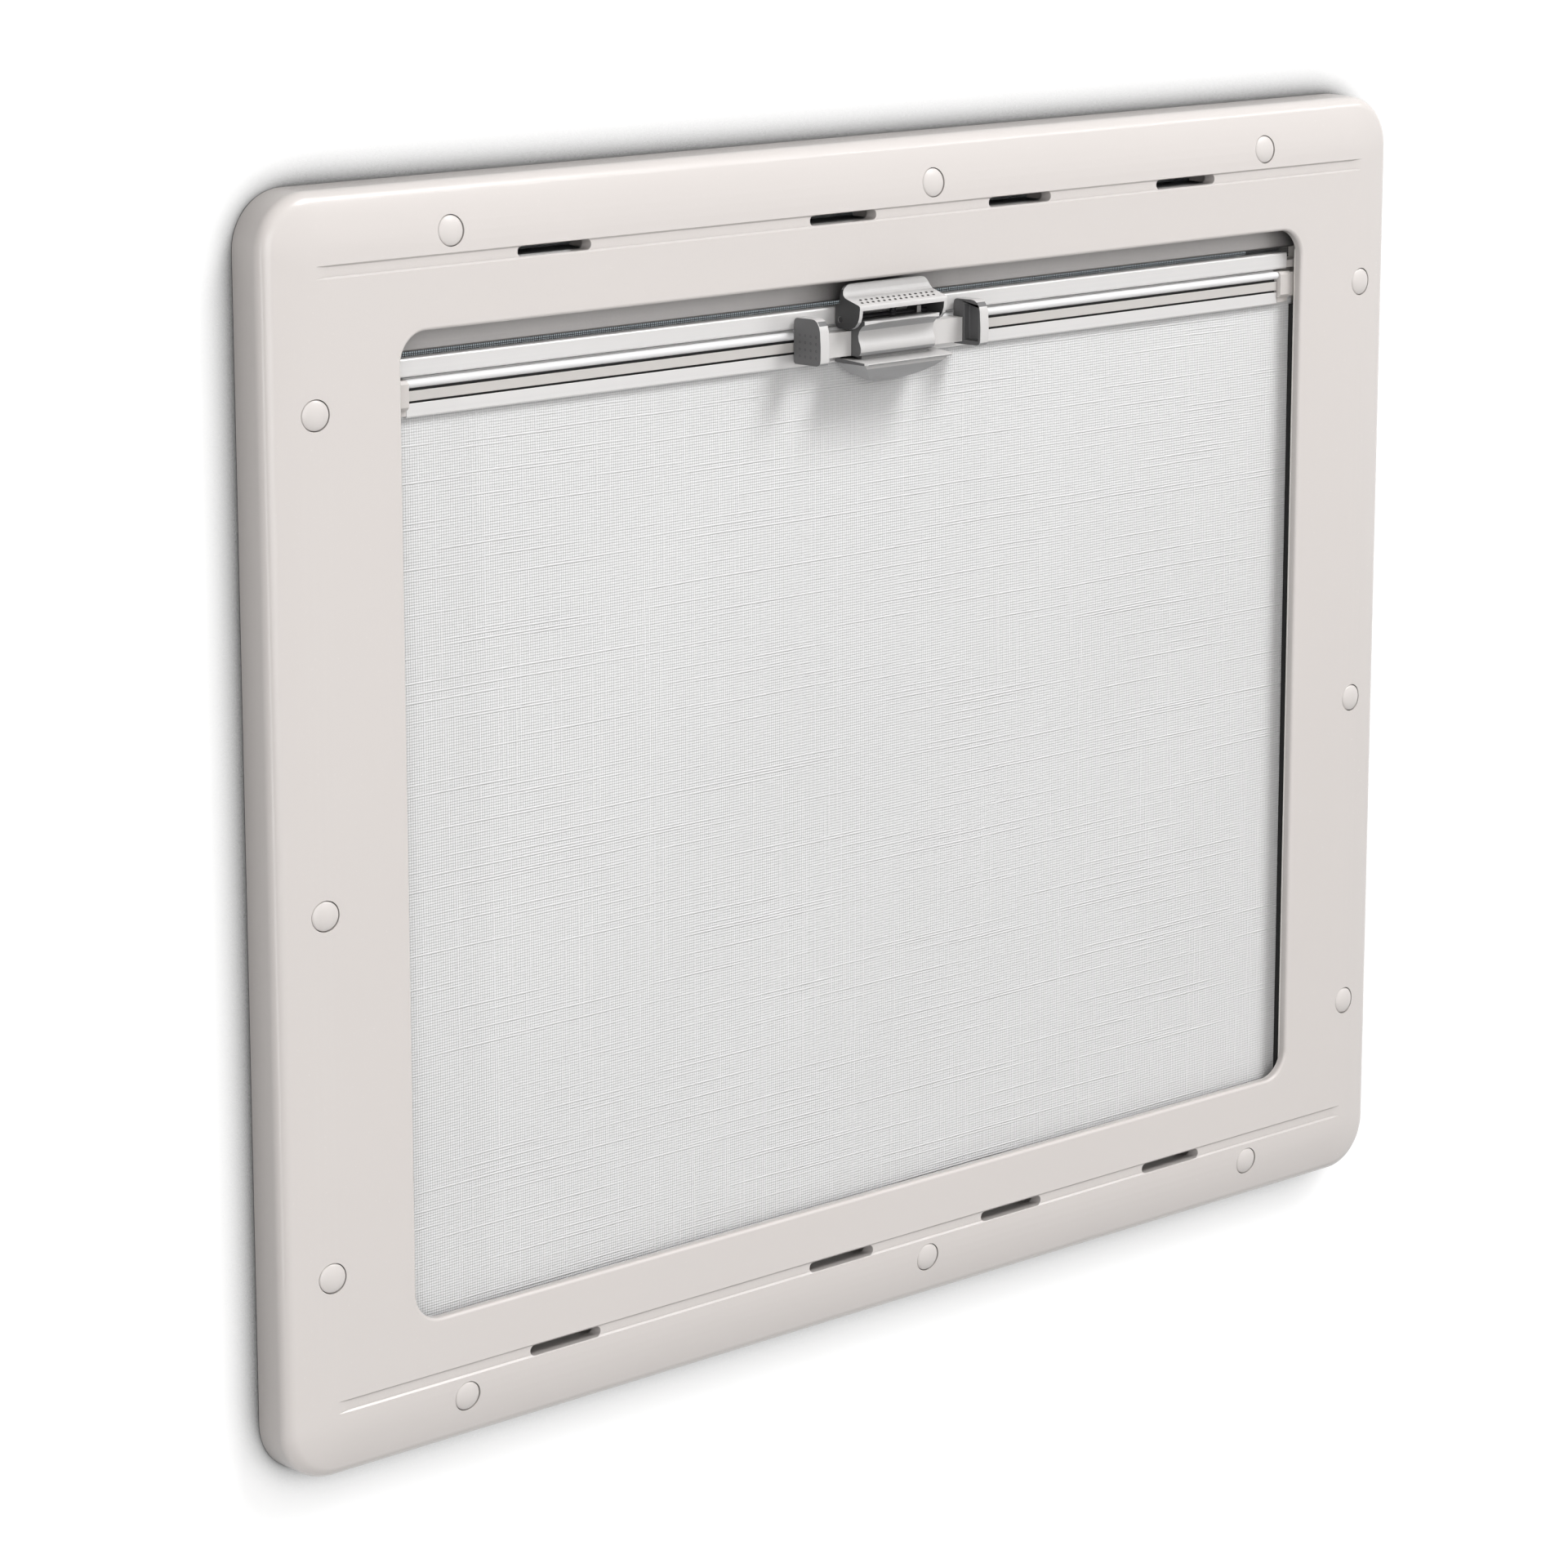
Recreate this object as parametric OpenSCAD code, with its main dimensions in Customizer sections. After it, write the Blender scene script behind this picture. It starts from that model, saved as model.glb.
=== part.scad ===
// Caravan window: room-side frame with roller blind, flyscreen and latch, and the
// outside half that clamps the same wall (frame, top-hung double pane, stays, catches).
// X runs to the right seen from the room, Z up, the room is at minus Y.
// The wall's room face is the plane y = 0.

/* [Overall] */
// width of the room-side frame over its outer edges
overall_width = 770; // [640:5:900]
// height of the room-side frame over its outer edges
overall_height = 630; // [520:5:760]
// how far the flat face stands out from the wall
frame_depth = 28; // [20:0.5:34]
// corner radius of the outer edge
corner_radius = 28; // [18:1:40]

/* [Border] */
// radius of the rounding between side wall and border
edge_round = 8; // [4:0.5:9]
// distance from the outer edge at which the border turns flat
slope_width = 34; // [26:1:34]
// fall of the outer border towards the edge
slope_angle = 8; // [4:1:12]
// border width at the sides
border_side = 75.5; // [70:0.5:90]
// border width at the top
border_top = 70.5; // [68:0.5:84]
// border width at the bottom
border_bottom = 69; // [66:0.5:84]
// corner radius of the clear opening
aperture_radius = 15; // [8:1:24]
// thickness of the front plate
plate_thickness = 4; // [3:0.5:5]
// depth of the lip around the clear opening
reveal_depth = 4.6; // [4.2:0.2:8]
// width of the solid land that lies on the wall
land_width = 30; // [24:1:33]

/* [Channel and slots] */
// distance of the channel from the outer edge
channel_inset = 34.5; // [34:0.5:37]
// width of the channel
channel_width = 6.6; // [6:0.2:8]
// depth of the channel
channel_depth = 0.8; // [0.4:0.1:1.4]
// distance of the channel's ends from the side edges
channel_end = 25; // [22:1:40]
// length of each vent slot
slot_length = 45; // [35:1:50]
// width of each vent slot
slot_width = 5.4; // [4.6:0.2:5.8]
// depth of the vent slots
slot_depth = 8; // [6:0.5:9]

/* [Screws and caps] */
// spacing of the columns on which caps and slots sit
column_pitch = 62; // [52:1:70]
// spacing of the rows on which the side caps sit
row_pitch = 60.2; // [50:1:66]
// distance of the top and bottom caps from the edge
cap_inset = 24; // [20:0.5:25]
// distance of the side caps from the edge
cap_inset_side = 26; // [20:0.5:27]
// diameter of a cap
cap_diameter = 14.8; // [13:0.2:16]
// diameter of the screw holes under the caps
screw_hole = 4.6; // [4:0.1:5.2]

/* [Wall] */
// thickness of the wall between both halves
wall_thickness = 24; // [20:1:30]
// how far the frame covers the wall around the opening
wall_overlap = 35; // [33:1:40]

/* [Blind and flyscreen] */
// distance of the blind cloth behind the front face
cloth_back = 13; // [12:0.5:16]
// thickness of the blind cloth
cloth_thickness = 0.8; // [0.6:0.1:1]
// height of the blind's end rail
blind_rail_height = 13.4; // [12:0.2:15]
// height of the flyscreen's end rail
screen_rail_height = 9; // [8:0.2:10]
// distance from the opening's top edge to the cloth
rail_drop = 42.5; // [40:0.5:44]
// diameter of the roller tubes
roller_tube = 15; // [13:0.5:16]
// diameter of the wound cloth and of the wound mesh
roll_diameter = 18; // [17:0.5:20]

/* [Latch] */
// width of the latch's thumb lever
latch_width = 60.5; // [52:0.5:64]
// how far the thumb ledge stands out in front of the rails
latch_reach = 20.4; // [18:0.2:24]
// distance between the two grip ears
ear_spacing = 110.5; // [100:0.5:124]
// thickness of a grip ear
ear_thickness = 6; // [4:0.5:7]
// height of a grip ear
ear_height = 24.6; // [20:0.2:26]

/* [Outside half] */
// how far the outer flange covers the wall
outer_overlap = 9; // [7:0.5:9]
// depth of the outer flange
outer_depth = 12; // [10:0.5:12]
// thickness of each pane sheet
pane_sheet = 3; // [2.5:0.5:3.5]
// air gap between both sheets at the rim
pane_gap = 5; // [4:0.5:6]
// how far the outer sheet bulges
pane_bulge = 7; // [4:0.5:8]
// diameter of a stay's tube
stay_tube = 10; // [8:0.5:11]
// diameter of a stay's rod
stay_rod = 6; // [5:0.5:6]
// length of a stay's tube
stay_length = 190; // [150:5:220]

/* [Hidden] */
$fn = 48;

hw = overall_width / 2;
hh = overall_height / 2;
// the origin lies in the middle of the bottom strip that rests on the wall
lift = hh - land_width / 2;
fy = -frame_depth;
ax = hw - border_side;
at = hh - border_top;
ab = hh - border_bottom;
col = column_pitch * overall_width / 770;
row = row_pitch * overall_height / 630;
cap_top_x = [-4.5 * col, 0.5 * col, 4.5 * col];
cap_side_z = [3.5 * row, -0.5 * row, -3.5 * row];
slot_x = [-3.5 * col, -0.5 * col, 1.5 * col, 3.5 * col];
slot_z = channel_inset + channel_width / 2 - 0.3;
slot_collar = 1.5;
cloth_y = fy + cloth_back;
rail_z = at - rail_drop;
rail_front = cloth_y - 4;
rail_back = cloth_y + 3;
bead_z = rail_z + blind_rail_height + 0.5;
screen_z = rail_z + blind_rail_height + 6.4;
cut_x = hw - wall_overlap;
cut_z = hh - wall_overlap;
sleeve = 3.5;
// the sleeve meets the ribs of the room-side frame
rib_back = -1;
sleeve_y = rib_back + 0.1;
cas_top = cut_z - 1 - sleeve - 2.5;
cas_y0 = fy + plate_thickness + 2;
cas_y1 = cas_y0 + 30;
cas_wall = 1.4;
cas_low = at - 11.3;
// the part of the top cassette that shows is set back
cas_face = cloth_y + 0.5;
cas_step = at + 2.5;
mesh_y = cas_face + cas_wall + 0.7;
guide_x0 = ax + 0.3;
guide_x1 = ax + 20;
guide_y0 = fy + reveal_depth + 0.2;
guide_y1 = cloth_y + 4.4;
roll_y = cloth_y + roll_diameter / 2 - cloth_thickness / 2;
roll_top_z = (cas_low + cas_top) / 2 + 3;
roll_bot_z = -(ab + 3 + cas_top) / 2;
oy = wall_thickness;
oy1 = wall_thickness + outer_depth;
ox = cut_x + outer_overlap;
oz = cut_z + outer_overlap;
pane_x = cut_x - 6;
pane_z = cut_z - 6;
seal_y = oy + 5;
pane_y = seal_y + 4;
// bow of the border: it falls more and more steeply towards the edge
bow_angle = 2 * slope_angle;
round_s = 0.4 + edge_round;
join_s = round_s - edge_round * cos(90 - bow_angle);
bow = tan(bow_angle) / (2 * (slope_width - join_s));
function border_y(s) = frame_depth - bow * pow(max(0, slope_width - s), 2);
function border_tilt(s) = atan(2 * bow * max(0, slope_width - s));

module rrect(w, h, r) {
    rr = max(0.2, min(r, min(w, h) / 2 - 0.1));
    translate([rr - w / 2, rr - h / 2])
        square([w - 2 * rr, h - 2 * rr]);
    translate([rr - w / 2, -h / 2])
        square([w - 2 * rr, h]);
    translate([-w / 2, rr - h / 2])
        square([w, h - 2 * rr]);
    for (sx = [-1, 1])
        for (sz = [-1, 1])
            translate([sx * (w / 2 - rr), sz * (h / 2 - rr)])
                circle(r = rr);
}

// a plate in the window plane, from y0 to y1
module slab(w, h, r, y0, y1) {
    translate([0, y1, 0])
        rotate([90, 0, 0])
            linear_extrude(y1 - y0)
                rrect(w, h, r);
}

module ring(w0, h0, r0, w1, h1, r1, y0, y1) {
    difference() {
        slab(w0, h0, r0, y0, y1);
        slab(w1, h1, r1, y0 - 1, y1 + 1);
    }
}

// a profile drawn as [y, z] points, swept along X from x0 to x1
module bar(points, x0, x1) {
    translate([x0, 0, 0])
        rotate([90, 0, 90])
            linear_extrude(x1 - x0)
                polygon(points);
}

module block(x0, x1, y0, y1, z0, z1) {
    translate([x0, y0, z0])
        cube([x1 - x0, y1 - y0, z1 - z0]);
}

module rod_x(d, x0, x1, y, z) {
    translate([x0, y, z])
        rotate([0, 90, 0])
            cylinder(d = d, h = x1 - x0);
}

module rod_y(d, y0, y1, x, z) {
    translate([x, y1, z])
        rotate([90, 0, 0])
            cylinder(d = d, h = y1 - y0);
}

module mirrored_x() {
    children();
    mirror([1, 0, 0])
        children();
}

// the border's section: distance from the edge, and how far it stands out of the wall
round_y = border_y(join_s) - edge_round * sin(90 - bow_angle);
section = [[0, 0], [0.4, round_y],
    for (i = [1:7])
        [round_s - edge_round * cos(i * (90 - bow_angle) / 7),
            round_y + edge_round * sin(i * (90 - bow_angle) / 7)],
    for (i = [1:6])
        [join_s + i * (slope_width - join_s) / 6,
            border_y(join_s + i * (slope_width - join_s) / 6)]];

module border_body() {
    hull()
        for (p = section)
            slab(overall_width - 2 * p[0], overall_height - 2 * p[0],
                max(corner_radius - p[0] * 0.7, 8), -p[1], -p[1] + 0.02);
}

// children are placed at the caps: z points out of the sloped border
module at_caps() {
    drop = border_y(cap_inset);
    drop_side = border_y(cap_inset_side);
    tilt = border_tilt(cap_inset);
    tilt_side = border_tilt(cap_inset_side);
    for (x = cap_top_x) {
        translate([x, -drop, hh - cap_inset])
            rotate([90 - tilt, 0, 0])
                children();
        translate([x, -drop, cap_inset - hh])
            rotate([90 + tilt, 0, 0])
                children();
    }
    for (z = cap_side_z) {
        translate([cap_inset_side - hw, -drop_side, z])
            rotate([90, 0, -tilt_side])
                children();
        translate([hw - cap_inset_side, -drop_side, z])
            rotate([90, 0, tilt_side])
                children();
    }
}

module screw_bores() {
    for (x = cap_top_x)
        for (s = [-1, 1])
            rod_y(screw_hole, fy, 1, x, s * (hh - cap_inset));
    for (z = cap_side_z)
        for (s = [-1, 1])
            rod_y(screw_hole, fy, 1, s * (hw - cap_inset_side), z);
}

// its flanks slope, and its ends run out to the surface
module channel() {
    length = overall_width - 2 * channel_end;
    flank = 0.9;
    run_out = 9;
    hull() {
        cube([length, 0.02, channel_width], center = true);
        translate([0, channel_depth / 2, 0])
            cube([length - 2 * run_out, channel_depth, channel_width - 2 * flank], center = true);
    }
}

module inner_frame() {
    inner_w = overall_width - 2 * land_width;
    inner_h = overall_height - 2 * land_width;
    lip = 3;
    color([0.85, 0.82, 0.79])
        difference() {
            border_body();
            // clear opening
            translate([0, 0, (border_bottom - border_top) / 2])
                slab(2 * ax, at + ab, aperture_radius, fy - 1, 1);
            // hollow behind the front plate, inside the land
            difference() {
                slab(inner_w, inner_h, 12, fy + plate_thickness, 1);
                translate([0, 0, (border_bottom - border_top) / 2])
                    slab(2 * ax + 2 * lip, at + ab + 2 * lip, aperture_radius + lip,
                        fy, fy + reveal_depth);
                // collar behind each vent slot
                for (x = slot_x)
                    for (s = [-1, 1])
                        translate([x, 0, s * (hh - slot_z)])
                            slab(slot_length + 2 * slot_collar, slot_width + 2 * slot_collar,
                                slot_width / 2 + slot_collar, fy, fy + slot_depth);
                // ribs that stiffen the border
                for (x = [-4:4])
                    for (s = [-1, 1])
                        block(x * col - 1.2, x * col + 1.2, fy, rib_back,
                            s > 0 ? cas_top + 1 : land_width - hh - 1,
                            s > 0 ? hh - land_width + 1 : -cas_top - 1);
                for (z = [-3:3])
                    for (s = [-1, 1])
                        block(s > 0 ? guide_x1 + 1 : land_width - hw - 1,
                            s > 0 ? hw - land_width + 1 : -guide_x1 - 1, fy, rib_back,
                            z * row - 1.2, z * row + 1.2);
            }
            // long shallow channels along the top and the bottom
            for (s = [-1, 1])
                translate([0, fy, s * (hh - channel_inset - channel_width / 2)])
                    channel();
            // vent slots
            for (x = slot_x)
                for (s = [-1, 1])
                    translate([x, 0, s * (hh - slot_z)])
                        slab(slot_length, slot_width, slot_width / 2, fy - 1,
                            fy + slot_depth + 1);
            // cap recesses and screw holes
            at_caps()
                translate([0, 0, -3.6])
                    cylinder(d = cap_diameter + 0.7, h = 8);
            screw_bores();
        }
}

module screw_caps() {
    r = cap_diameter / 2;
    color([0.88, 0.86, 0.83])
        at_caps()
            rotate_extrude()
                polygon([[0, -2], [r - 1.4, -2], [r - 1.4, -3.4], [r, -3.4], [r, -0.9],
                    [r - 0.25, -0.45], [r * 0.88, 0], [r * 0.72, 0.42], [r * 0.5, 0.82],
                    [r * 0.25, 1.06], [0, 1.14]]);
}

// a long box section with a slot for the cloth
module cassette(z0, z1, slot_up) {
    w = cas_wall;
    s0 = cloth_y - 2;
    s1 = cloth_y + 2.6;
    difference() {
        block(-guide_x1, guide_x1, cas_y0, cas_y1, z0, z1);
        block(-guide_x1 - 1, guide_x1 + 1, cas_y0 + w, cas_y1 - w, z0 + w, z1 - w);
        block(-guide_x1 - 1, guide_x1 + 1, s0, s1, slot_up ? z1 - 2 * w : z0 - 1,
            slot_up ? z1 + 1 : z0 + 2 * w);
    }
}

module top_cassette() {
    w = cas_wall;
    color([0.80, 0.80, 0.79])
        difference() {
            bar([[cas_face + 0.8, cas_low], [cas_face, cas_low + 0.8], [cas_face, cas_step],
                [cas_y0, cas_step], [cas_y0, cas_top], [cas_y1, cas_top], [cas_y1, cas_low]],
                -guide_x1, guide_x1);
            bar([[cas_face + w, cas_low + w], [cas_face + w, cas_step + w],
                [cas_y0 + w, cas_step + w], [cas_y0 + w, cas_top - w],
                [cas_y1 - w, cas_top - w], [cas_y1 - w, cas_low + w]],
                -guide_x1 - 1, guide_x1 + 1);
            block(-ax - 9, ax + 9, mesh_y - 0.65, mesh_y + 1, cas_low - 1, cas_low + w + 1);
        }
}

module bottom_cassette() {
    color([0.80, 0.80, 0.79])
        cassette(-cas_top, -ab - 3, true);
}

module roller_brackets() {
    color([0.2, 0.2, 0.21])
        mirrored_x()
            for (k = [0, 1]) {
                z = k == 0 ? roll_top_z : roll_bot_z;
                z0 = k == 0 ? cas_low + 0.2 : -cas_top + 0.2;
                z1 = k == 0 ? cas_top - 0.2 : -ab - 3.2;
                block(guide_x1 + 0.2, guide_x1 + 3.4, cas_y0 + 0.2, cas_y1 - 0.2, z0, z1);
                rod_x(6, guide_x1 - 3, guide_x1 + 2, roll_y, z);
            }
}

module roll(z) {
    difference() {
        union() {
            rod_x(roller_tube, -guide_x1 + 3, guide_x1 - 3, roll_y, z);
            rod_x(roll_diameter - 2 * cloth_thickness, -ax - 8, ax + 8, roll_y, z);
        }
        rod_x(7, -guide_x1 - 1, -guide_x1 + 9, roll_y, z);
        rod_x(7, guide_x1 - 9, guide_x1 + 1, roll_y, z);
    }
}

module flyscreen_roll() {
    color([0.25, 0.26, 0.27])
        roll(roll_top_z);
}

module blind_roll() {
    color([0.9, 0.9, 0.89])
        roll(roll_bot_z);
}

module side_guides() {
    w = 1.2;
    color([0.86, 0.85, 0.84])
        mirrored_x()
            difference() {
                block(guide_x0, guide_x1, guide_y0, guide_y1, -ab - 2, cas_low - 0.4);
                block(guide_x0 - 1, guide_x1 - w, guide_y0 + w, guide_y1 - w, -ab - 3, cas_low);
            }
}

module guide_brushes() {
    w = 1.2;
    z1 = rail_z - 1;
    color([0.05, 0.05, 0.05])
        mirrored_x() {
            block(ax + 3.4, ax + 8, guide_y0 + w, cloth_y - cloth_thickness / 2 - 0.15, -ab - 1, z1);
            block(ax + 2, ax + 7, cloth_y + cloth_thickness / 2 + 0.15, guide_y1 - w, -ab - 1, z1);
        }
}

module flyscreen_rail() {
    h = screen_rail_height;
    f = rail_front;
    b = mesh_y + 1.9;
    color([0.80, 0.80, 0.80])
        difference() {
            bar([[f + 0.6, screen_z], [f, screen_z + 0.8], [f, screen_z + h - 0.8],
                [f + 0.6, screen_z + h], [b, screen_z + h], [b, screen_z]], -ax + 2, ax - 2);
            block(-ax, ax, mesh_y - 0.6, mesh_y + 0.6, screen_z + h - 4, screen_z + h + 1);
        }
}

module flyscreen_mesh() {
    t = 0.5;
    color([0.3, 0.3, 0.31])
        block(-ax - 6, ax + 6, mesh_y - t / 2, mesh_y + t / 2,
            screen_z + screen_rail_height - 3.6,
            roll_top_z - sqrt(pow(roll_diameter / 2 - cloth_thickness, 2)
                - pow(roll_y - mesh_y - t / 2, 2)) - 0.15);
}

module blind_rail() {
    f = rail_front + 0.6;
    b = rail_back;
    z = rail_z;
    h = blind_rail_height;
    color([0.78, 0.78, 0.79])
        difference() {
            bar([[f + 0.6, z], [f, z + 0.8], [f, z + 6.9], [f + 2, z + 6.9], [f + 2, z + 8],
                [f, z + 8], [f, z + h - 0.5], [f + 2, z + h - 0.5], [f + 2, z + h + 0.5],
                [cloth_y - 0.6, z + h + 0.5], [cloth_y - 0.6, z + h + 5.6],
                [b, z + h + 5.6], [b, z]], -ax + 9.3, ax - 9.3);
            block(-ax, ax, cloth_y - 0.65, cloth_y + 0.65, z - 1, z + 5);
        }
}

module rail_bead() {
    f = rail_front - 0.9;
    r = 2.1;
    color([0.94, 0.94, 0.94])
        bar([[cloth_y - 0.8, bead_z + 0.3], [f + r, bead_z + 0.3],
            for (i = [1:5])
                [f + r - r * sin(i * 30), bead_z + 0.3 + r - r * cos(i * 30)],
            [f + r, bead_z + 0.3 + 2 * r], [cloth_y - 0.8, bead_z + 0.3 + 2 * r]],
            -ax + 9.3, ax - 9.3);
}

module rail_ends() {
    f = rail_front - 2;
    color([0.72, 0.70, 0.69])
        mirrored_x() {
            difference() {
                translate([ax - 9.1, 0, 0])
                    bar([[f + 1.4, rail_z + 4], [f, rail_z + 5.6], [f, screen_z - 3],
                        [f + 1.4, screen_z - 1.4], [rail_back, screen_z - 1.4],
                        [rail_back, rail_z + 1], [rail_front + 0.6, rail_z + 1],
                        [rail_front + 0.6, rail_z + 4]], 0, 8.4);
                block(ax - 12, ax + 4, cloth_y - 0.65, cloth_y + 0.65, rail_z, rail_z + 5.2);
            }
            block(ax - 0.9, ax + 12, guide_y0 + 2.4, cloth_y - 0.65, rail_z + 4.6, screen_z - 2);
            block(ax - 1.8, ax + 12, rail_front + 0.6, rail_back, screen_z + 0.4,
                screen_z + screen_rail_height - 4.4);
        }
}

module blind_cloth() {
    color([0.92, 0.92, 0.92])
        block(-ax - 6, ax + 6, cloth_y - cloth_thickness / 2, cloth_y + cloth_thickness / 2,
            roll_bot_z, rail_z + 4.6);
}

// latch points are [distance in front of the rails, height over the blind's rail]
function at_latch(points) = [for (p = points) [rail_front - p[0], rail_z + p[1]]];

module latch_bar(points, x0, x1) {
    bar(at_latch(points), x0, x1);
}

module latch_block(x0, x1, q0, q1, z0, z1) {
    block(x0, x1, rail_front - q1, rail_front - q0, rail_z + z0, rail_z + z1);
}

latch_half = latch_width / 2;
body_half = latch_half - 4.4;
bracket_half = ear_spacing / 2 - ear_thickness / 2 - 0.2;
pin_q = 5.2;
pin_z = 22.8;

module latch_bracket() {
    color([0.78, 0.77, 0.77])
        difference() {
            union() {
                latch_block(-bracket_half, bracket_half, 1.1, 8.4, 4.2, 17);
                for (s = [-1, 1]) {
                    x = s * (latch_half - 9);
                    latch_block(x - 1.5, x + 1.5, 1.1, 8.4, 16, 26);
                }
            }
            rod_x(3.3, -latch_half, latch_half, rail_front - pin_q, rail_z + pin_z);
        }
}

module latch_ears() {
    r = latch_reach + 1.6;
    h = ear_height;
    x0 = ear_spacing / 2 - ear_thickness / 2;
    color([0.52, 0.52, 0.53])
        mirrored_x()
            difference() {
                latch_bar([[1.1, 3.4], [2, 2.4], [r - 3.4, 2.8], [r - 1.4, 3.4], [r - 0.4, 4.6],
                    [r - 0.1, 6.4], [r, 13], [r - 0.5, h - 4], [r - 1.4, h - 1.2],
                    [r - 2.8, h + 0.9], [r - 5, h + 2], [r - 7.5, h + 2.2], [3.6, h + 1.8],
                    [2, h + 1.2], [1.3, h], [1.1, h - 1.6]], x0, x0 + ear_thickness);
                latch_block(x0 - 1, x0 + ear_thickness * 0.66, 9.4, r - 2, 5.2, h - 0.6);
            }
}

module latch_body() {
    w = body_half;
    r = latch_reach;
    color([0.62, 0.62, 0.63])
        difference() {
            union() {
                // lip over a concave arch over a convex roll, bowed towards the room
                intersection() {
                    latch_bar([[8.6, 22.6], [r - 0.3, 22.9], [r + 0.6, 22.5], [r + 0.4, 21.8],
                        [r - 3.4, 19.8], [r - 5.6, 17.4], [r - 6.4, 14.8], [r - 6, 12.4],
                        [r - 4.9, 10.4], [r - 4.3, 8.4], [r - 4.4, 6.4], [r - 5.4, 4.8],
                        [r - 7.4, 4.2], [8.6, 4.2]], -w, w);
                    translate([0, rail_front - r - 1.4 + 120, rail_z])
                        cylinder(r = 120, h = 30, $fn = 240);
                }
                // web behind the dark line
                latch_block(-w + 3, w - 3, 8.6, r - 7, 2, 5);
                // finger ledge with its bowed underside
                intersection() {
                    latch_bar([[1.1, 3.4], [10, 2.9], [r + 3.6, 2], [r + 4.5, 1.5], [r + 4, 0.8],
                        [10, 0.8], [1.1, 0.8]], -latch_half - 2, latch_half + 2);
                    translate([0, 0, rail_z - 1])
                        linear_extrude(6)
                            polygon([[-latch_half, rail_front - 1.1], [-latch_half - 1, rail_front - 9],
                                [-latch_half + 0.6, rail_front - r - 2.6],
                                [-latch_half + 2.4, rail_front - r - 4.6],
                                [latch_half - 1.6, rail_front - r - 4.6],
                                [latch_half + 0.6, rail_front - r - 3.6],
                                [latch_half + 1, rail_front - 9], [latch_half, rail_front - 1.1]]);
                }
                intersection() {
                    translate([0, rail_front - 1.1, rail_z + 27])
                        rotate([90, 0, 0])
                            cylinder(r = 39, h = r + 1.4, $fn = 96);
                    latch_bar([[1.1, 1], [r + 2.2, 1], [r + 1.4, -1.4], [r - 2, -4.6], [r - 7, -7.8],
                        [r - 13, -10.6], [3, -12.4], [1.1, -12.4]], -latch_half, latch_half);
                }
            }
            latch_block(-w + 6, w - 6, 0, 6, -20, -3);
        }
}

module latch_lever() {
    w = latch_half;
    r = latch_reach;
    top = [[6.2, 40], [6.5, 37.4], [7.3, 35.6], [8.9, 34.2], [r - 1, 31.4], [r - 0.2, 30.8],
        [r, 29.6], [r - 0.2, 28.6]];
    color([0.66, 0.66, 0.67])
        difference() {
            intersection() {
                union() {
                    latch_bar(concat([[4.6, 27.5], [4.6, 40.4], [5, 40.9], [5.8, 40.9]], top,
                        [[r - 1.8, 28.5], [8.8, 31.4], [6.3, 31.6], [6.2, 27.5]]), -w + 1, w - 1);
                    // cheeks
                    mirrored_x()
                        latch_bar(concat([[4.6, 40.4], [5, 40.9], [5.8, 40.9]], top,
                            [[r - 0.6, 25.4], [r - 1.7, 22.6], [r - 3.8, 20.2], [r - 6.4, 18.8],
                            [r - 9, 18.3], [4, 18.2], [2.2, 18.9], [1.3, 20.6], [1.2, 29],
                            [2, 30.8], [4.6, 31.4]]), w - 2.2, w);
                }
                // rounded corners on the tab
                union() {
                    latch_block(-w - 1, w + 1, 0, r + 2, 15, 34);
                    translate([0, 0, rail_z + 40.9 - 12])
                        slab(2 * w, 24, 6.5, rail_front - r - 2, rail_front);
                }
            }
            rod_x(3.4, -w - 5, w + 5, rail_front - pin_q, rail_z + pin_z);
        }
}

module latch_pin() {
    color([0.7, 0.7, 0.7])
        rod_x(3.2, -latch_half + 0.4, latch_half - 0.4, rail_front - pin_q, rail_z + pin_z);
}

module latch_spring() {
    color([0.6, 0.6, 0.6])
        translate([0, rail_front - latch_reach * 0.56, rail_z + 22.74])
            cylinder(d = 4, h = 5.5);
}

module outer_frame() {
    lip = 4;
    color([0.86, 0.86, 0.85])
        difference() {
            union() {
                hull() {
                    slab(2 * ox, 2 * oz, 24, oy, oy + 6);
                    slab(2 * ox - 3, 2 * oz - 3, 23, oy, oy1 - 2);
                    slab(2 * ox - 9, 2 * oz - 9, 20, oy, oy1);
                }
                slab(2 * cut_x - 2, 2 * cut_z - 2, 18, sleeve_y, oy + 1);
            }
            // seat for the pane
            slab(2 * pane_x + 4, 2 * pane_z + 4, 16, seal_y, oy1 + 5);
            // clear opening behind the pane
            slab(2 * cut_x - 2 - 2 * sleeve, 2 * cut_z - 2 - 2 * sleeve, 14, sleeve_y - 1, oy - 1);
            slab(2 * pane_x - 40, 2 * pane_z - 40, 12, sleeve_y - 1, oy1 + 5);
        }
}

module wall_seal() {
    color([0.12, 0.12, 0.12])
        ring(2 * ox - 6, 2 * oz - 6, 21, 2 * cut_x + 2, 2 * cut_z + 2, 19, oy - 1.5, oy - 0.02);
}

module pane_seal() {
    color([0.08, 0.08, 0.08])
        ring(2 * pane_x - 6, 2 * pane_z - 6, 13, 2 * pane_x - 24, 2 * pane_z - 24, 8,
            seal_y + 0.05, pane_y - 0.05);
}

module inner_pane() {
    color([0.75, 0.8, 0.82, 0.4])
        slab(2 * pane_x, 2 * pane_z, 16, pane_y, pane_y + pane_sheet);
}

module pane_spacer() {
    y0 = pane_y + pane_sheet + 0.02;
    color([0.15, 0.15, 0.16])
        ring(2 * pane_x, 2 * pane_z, 16, 2 * pane_x - 16, 2 * pane_z - 16, 8, y0, y0 + pane_gap);
}

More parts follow.
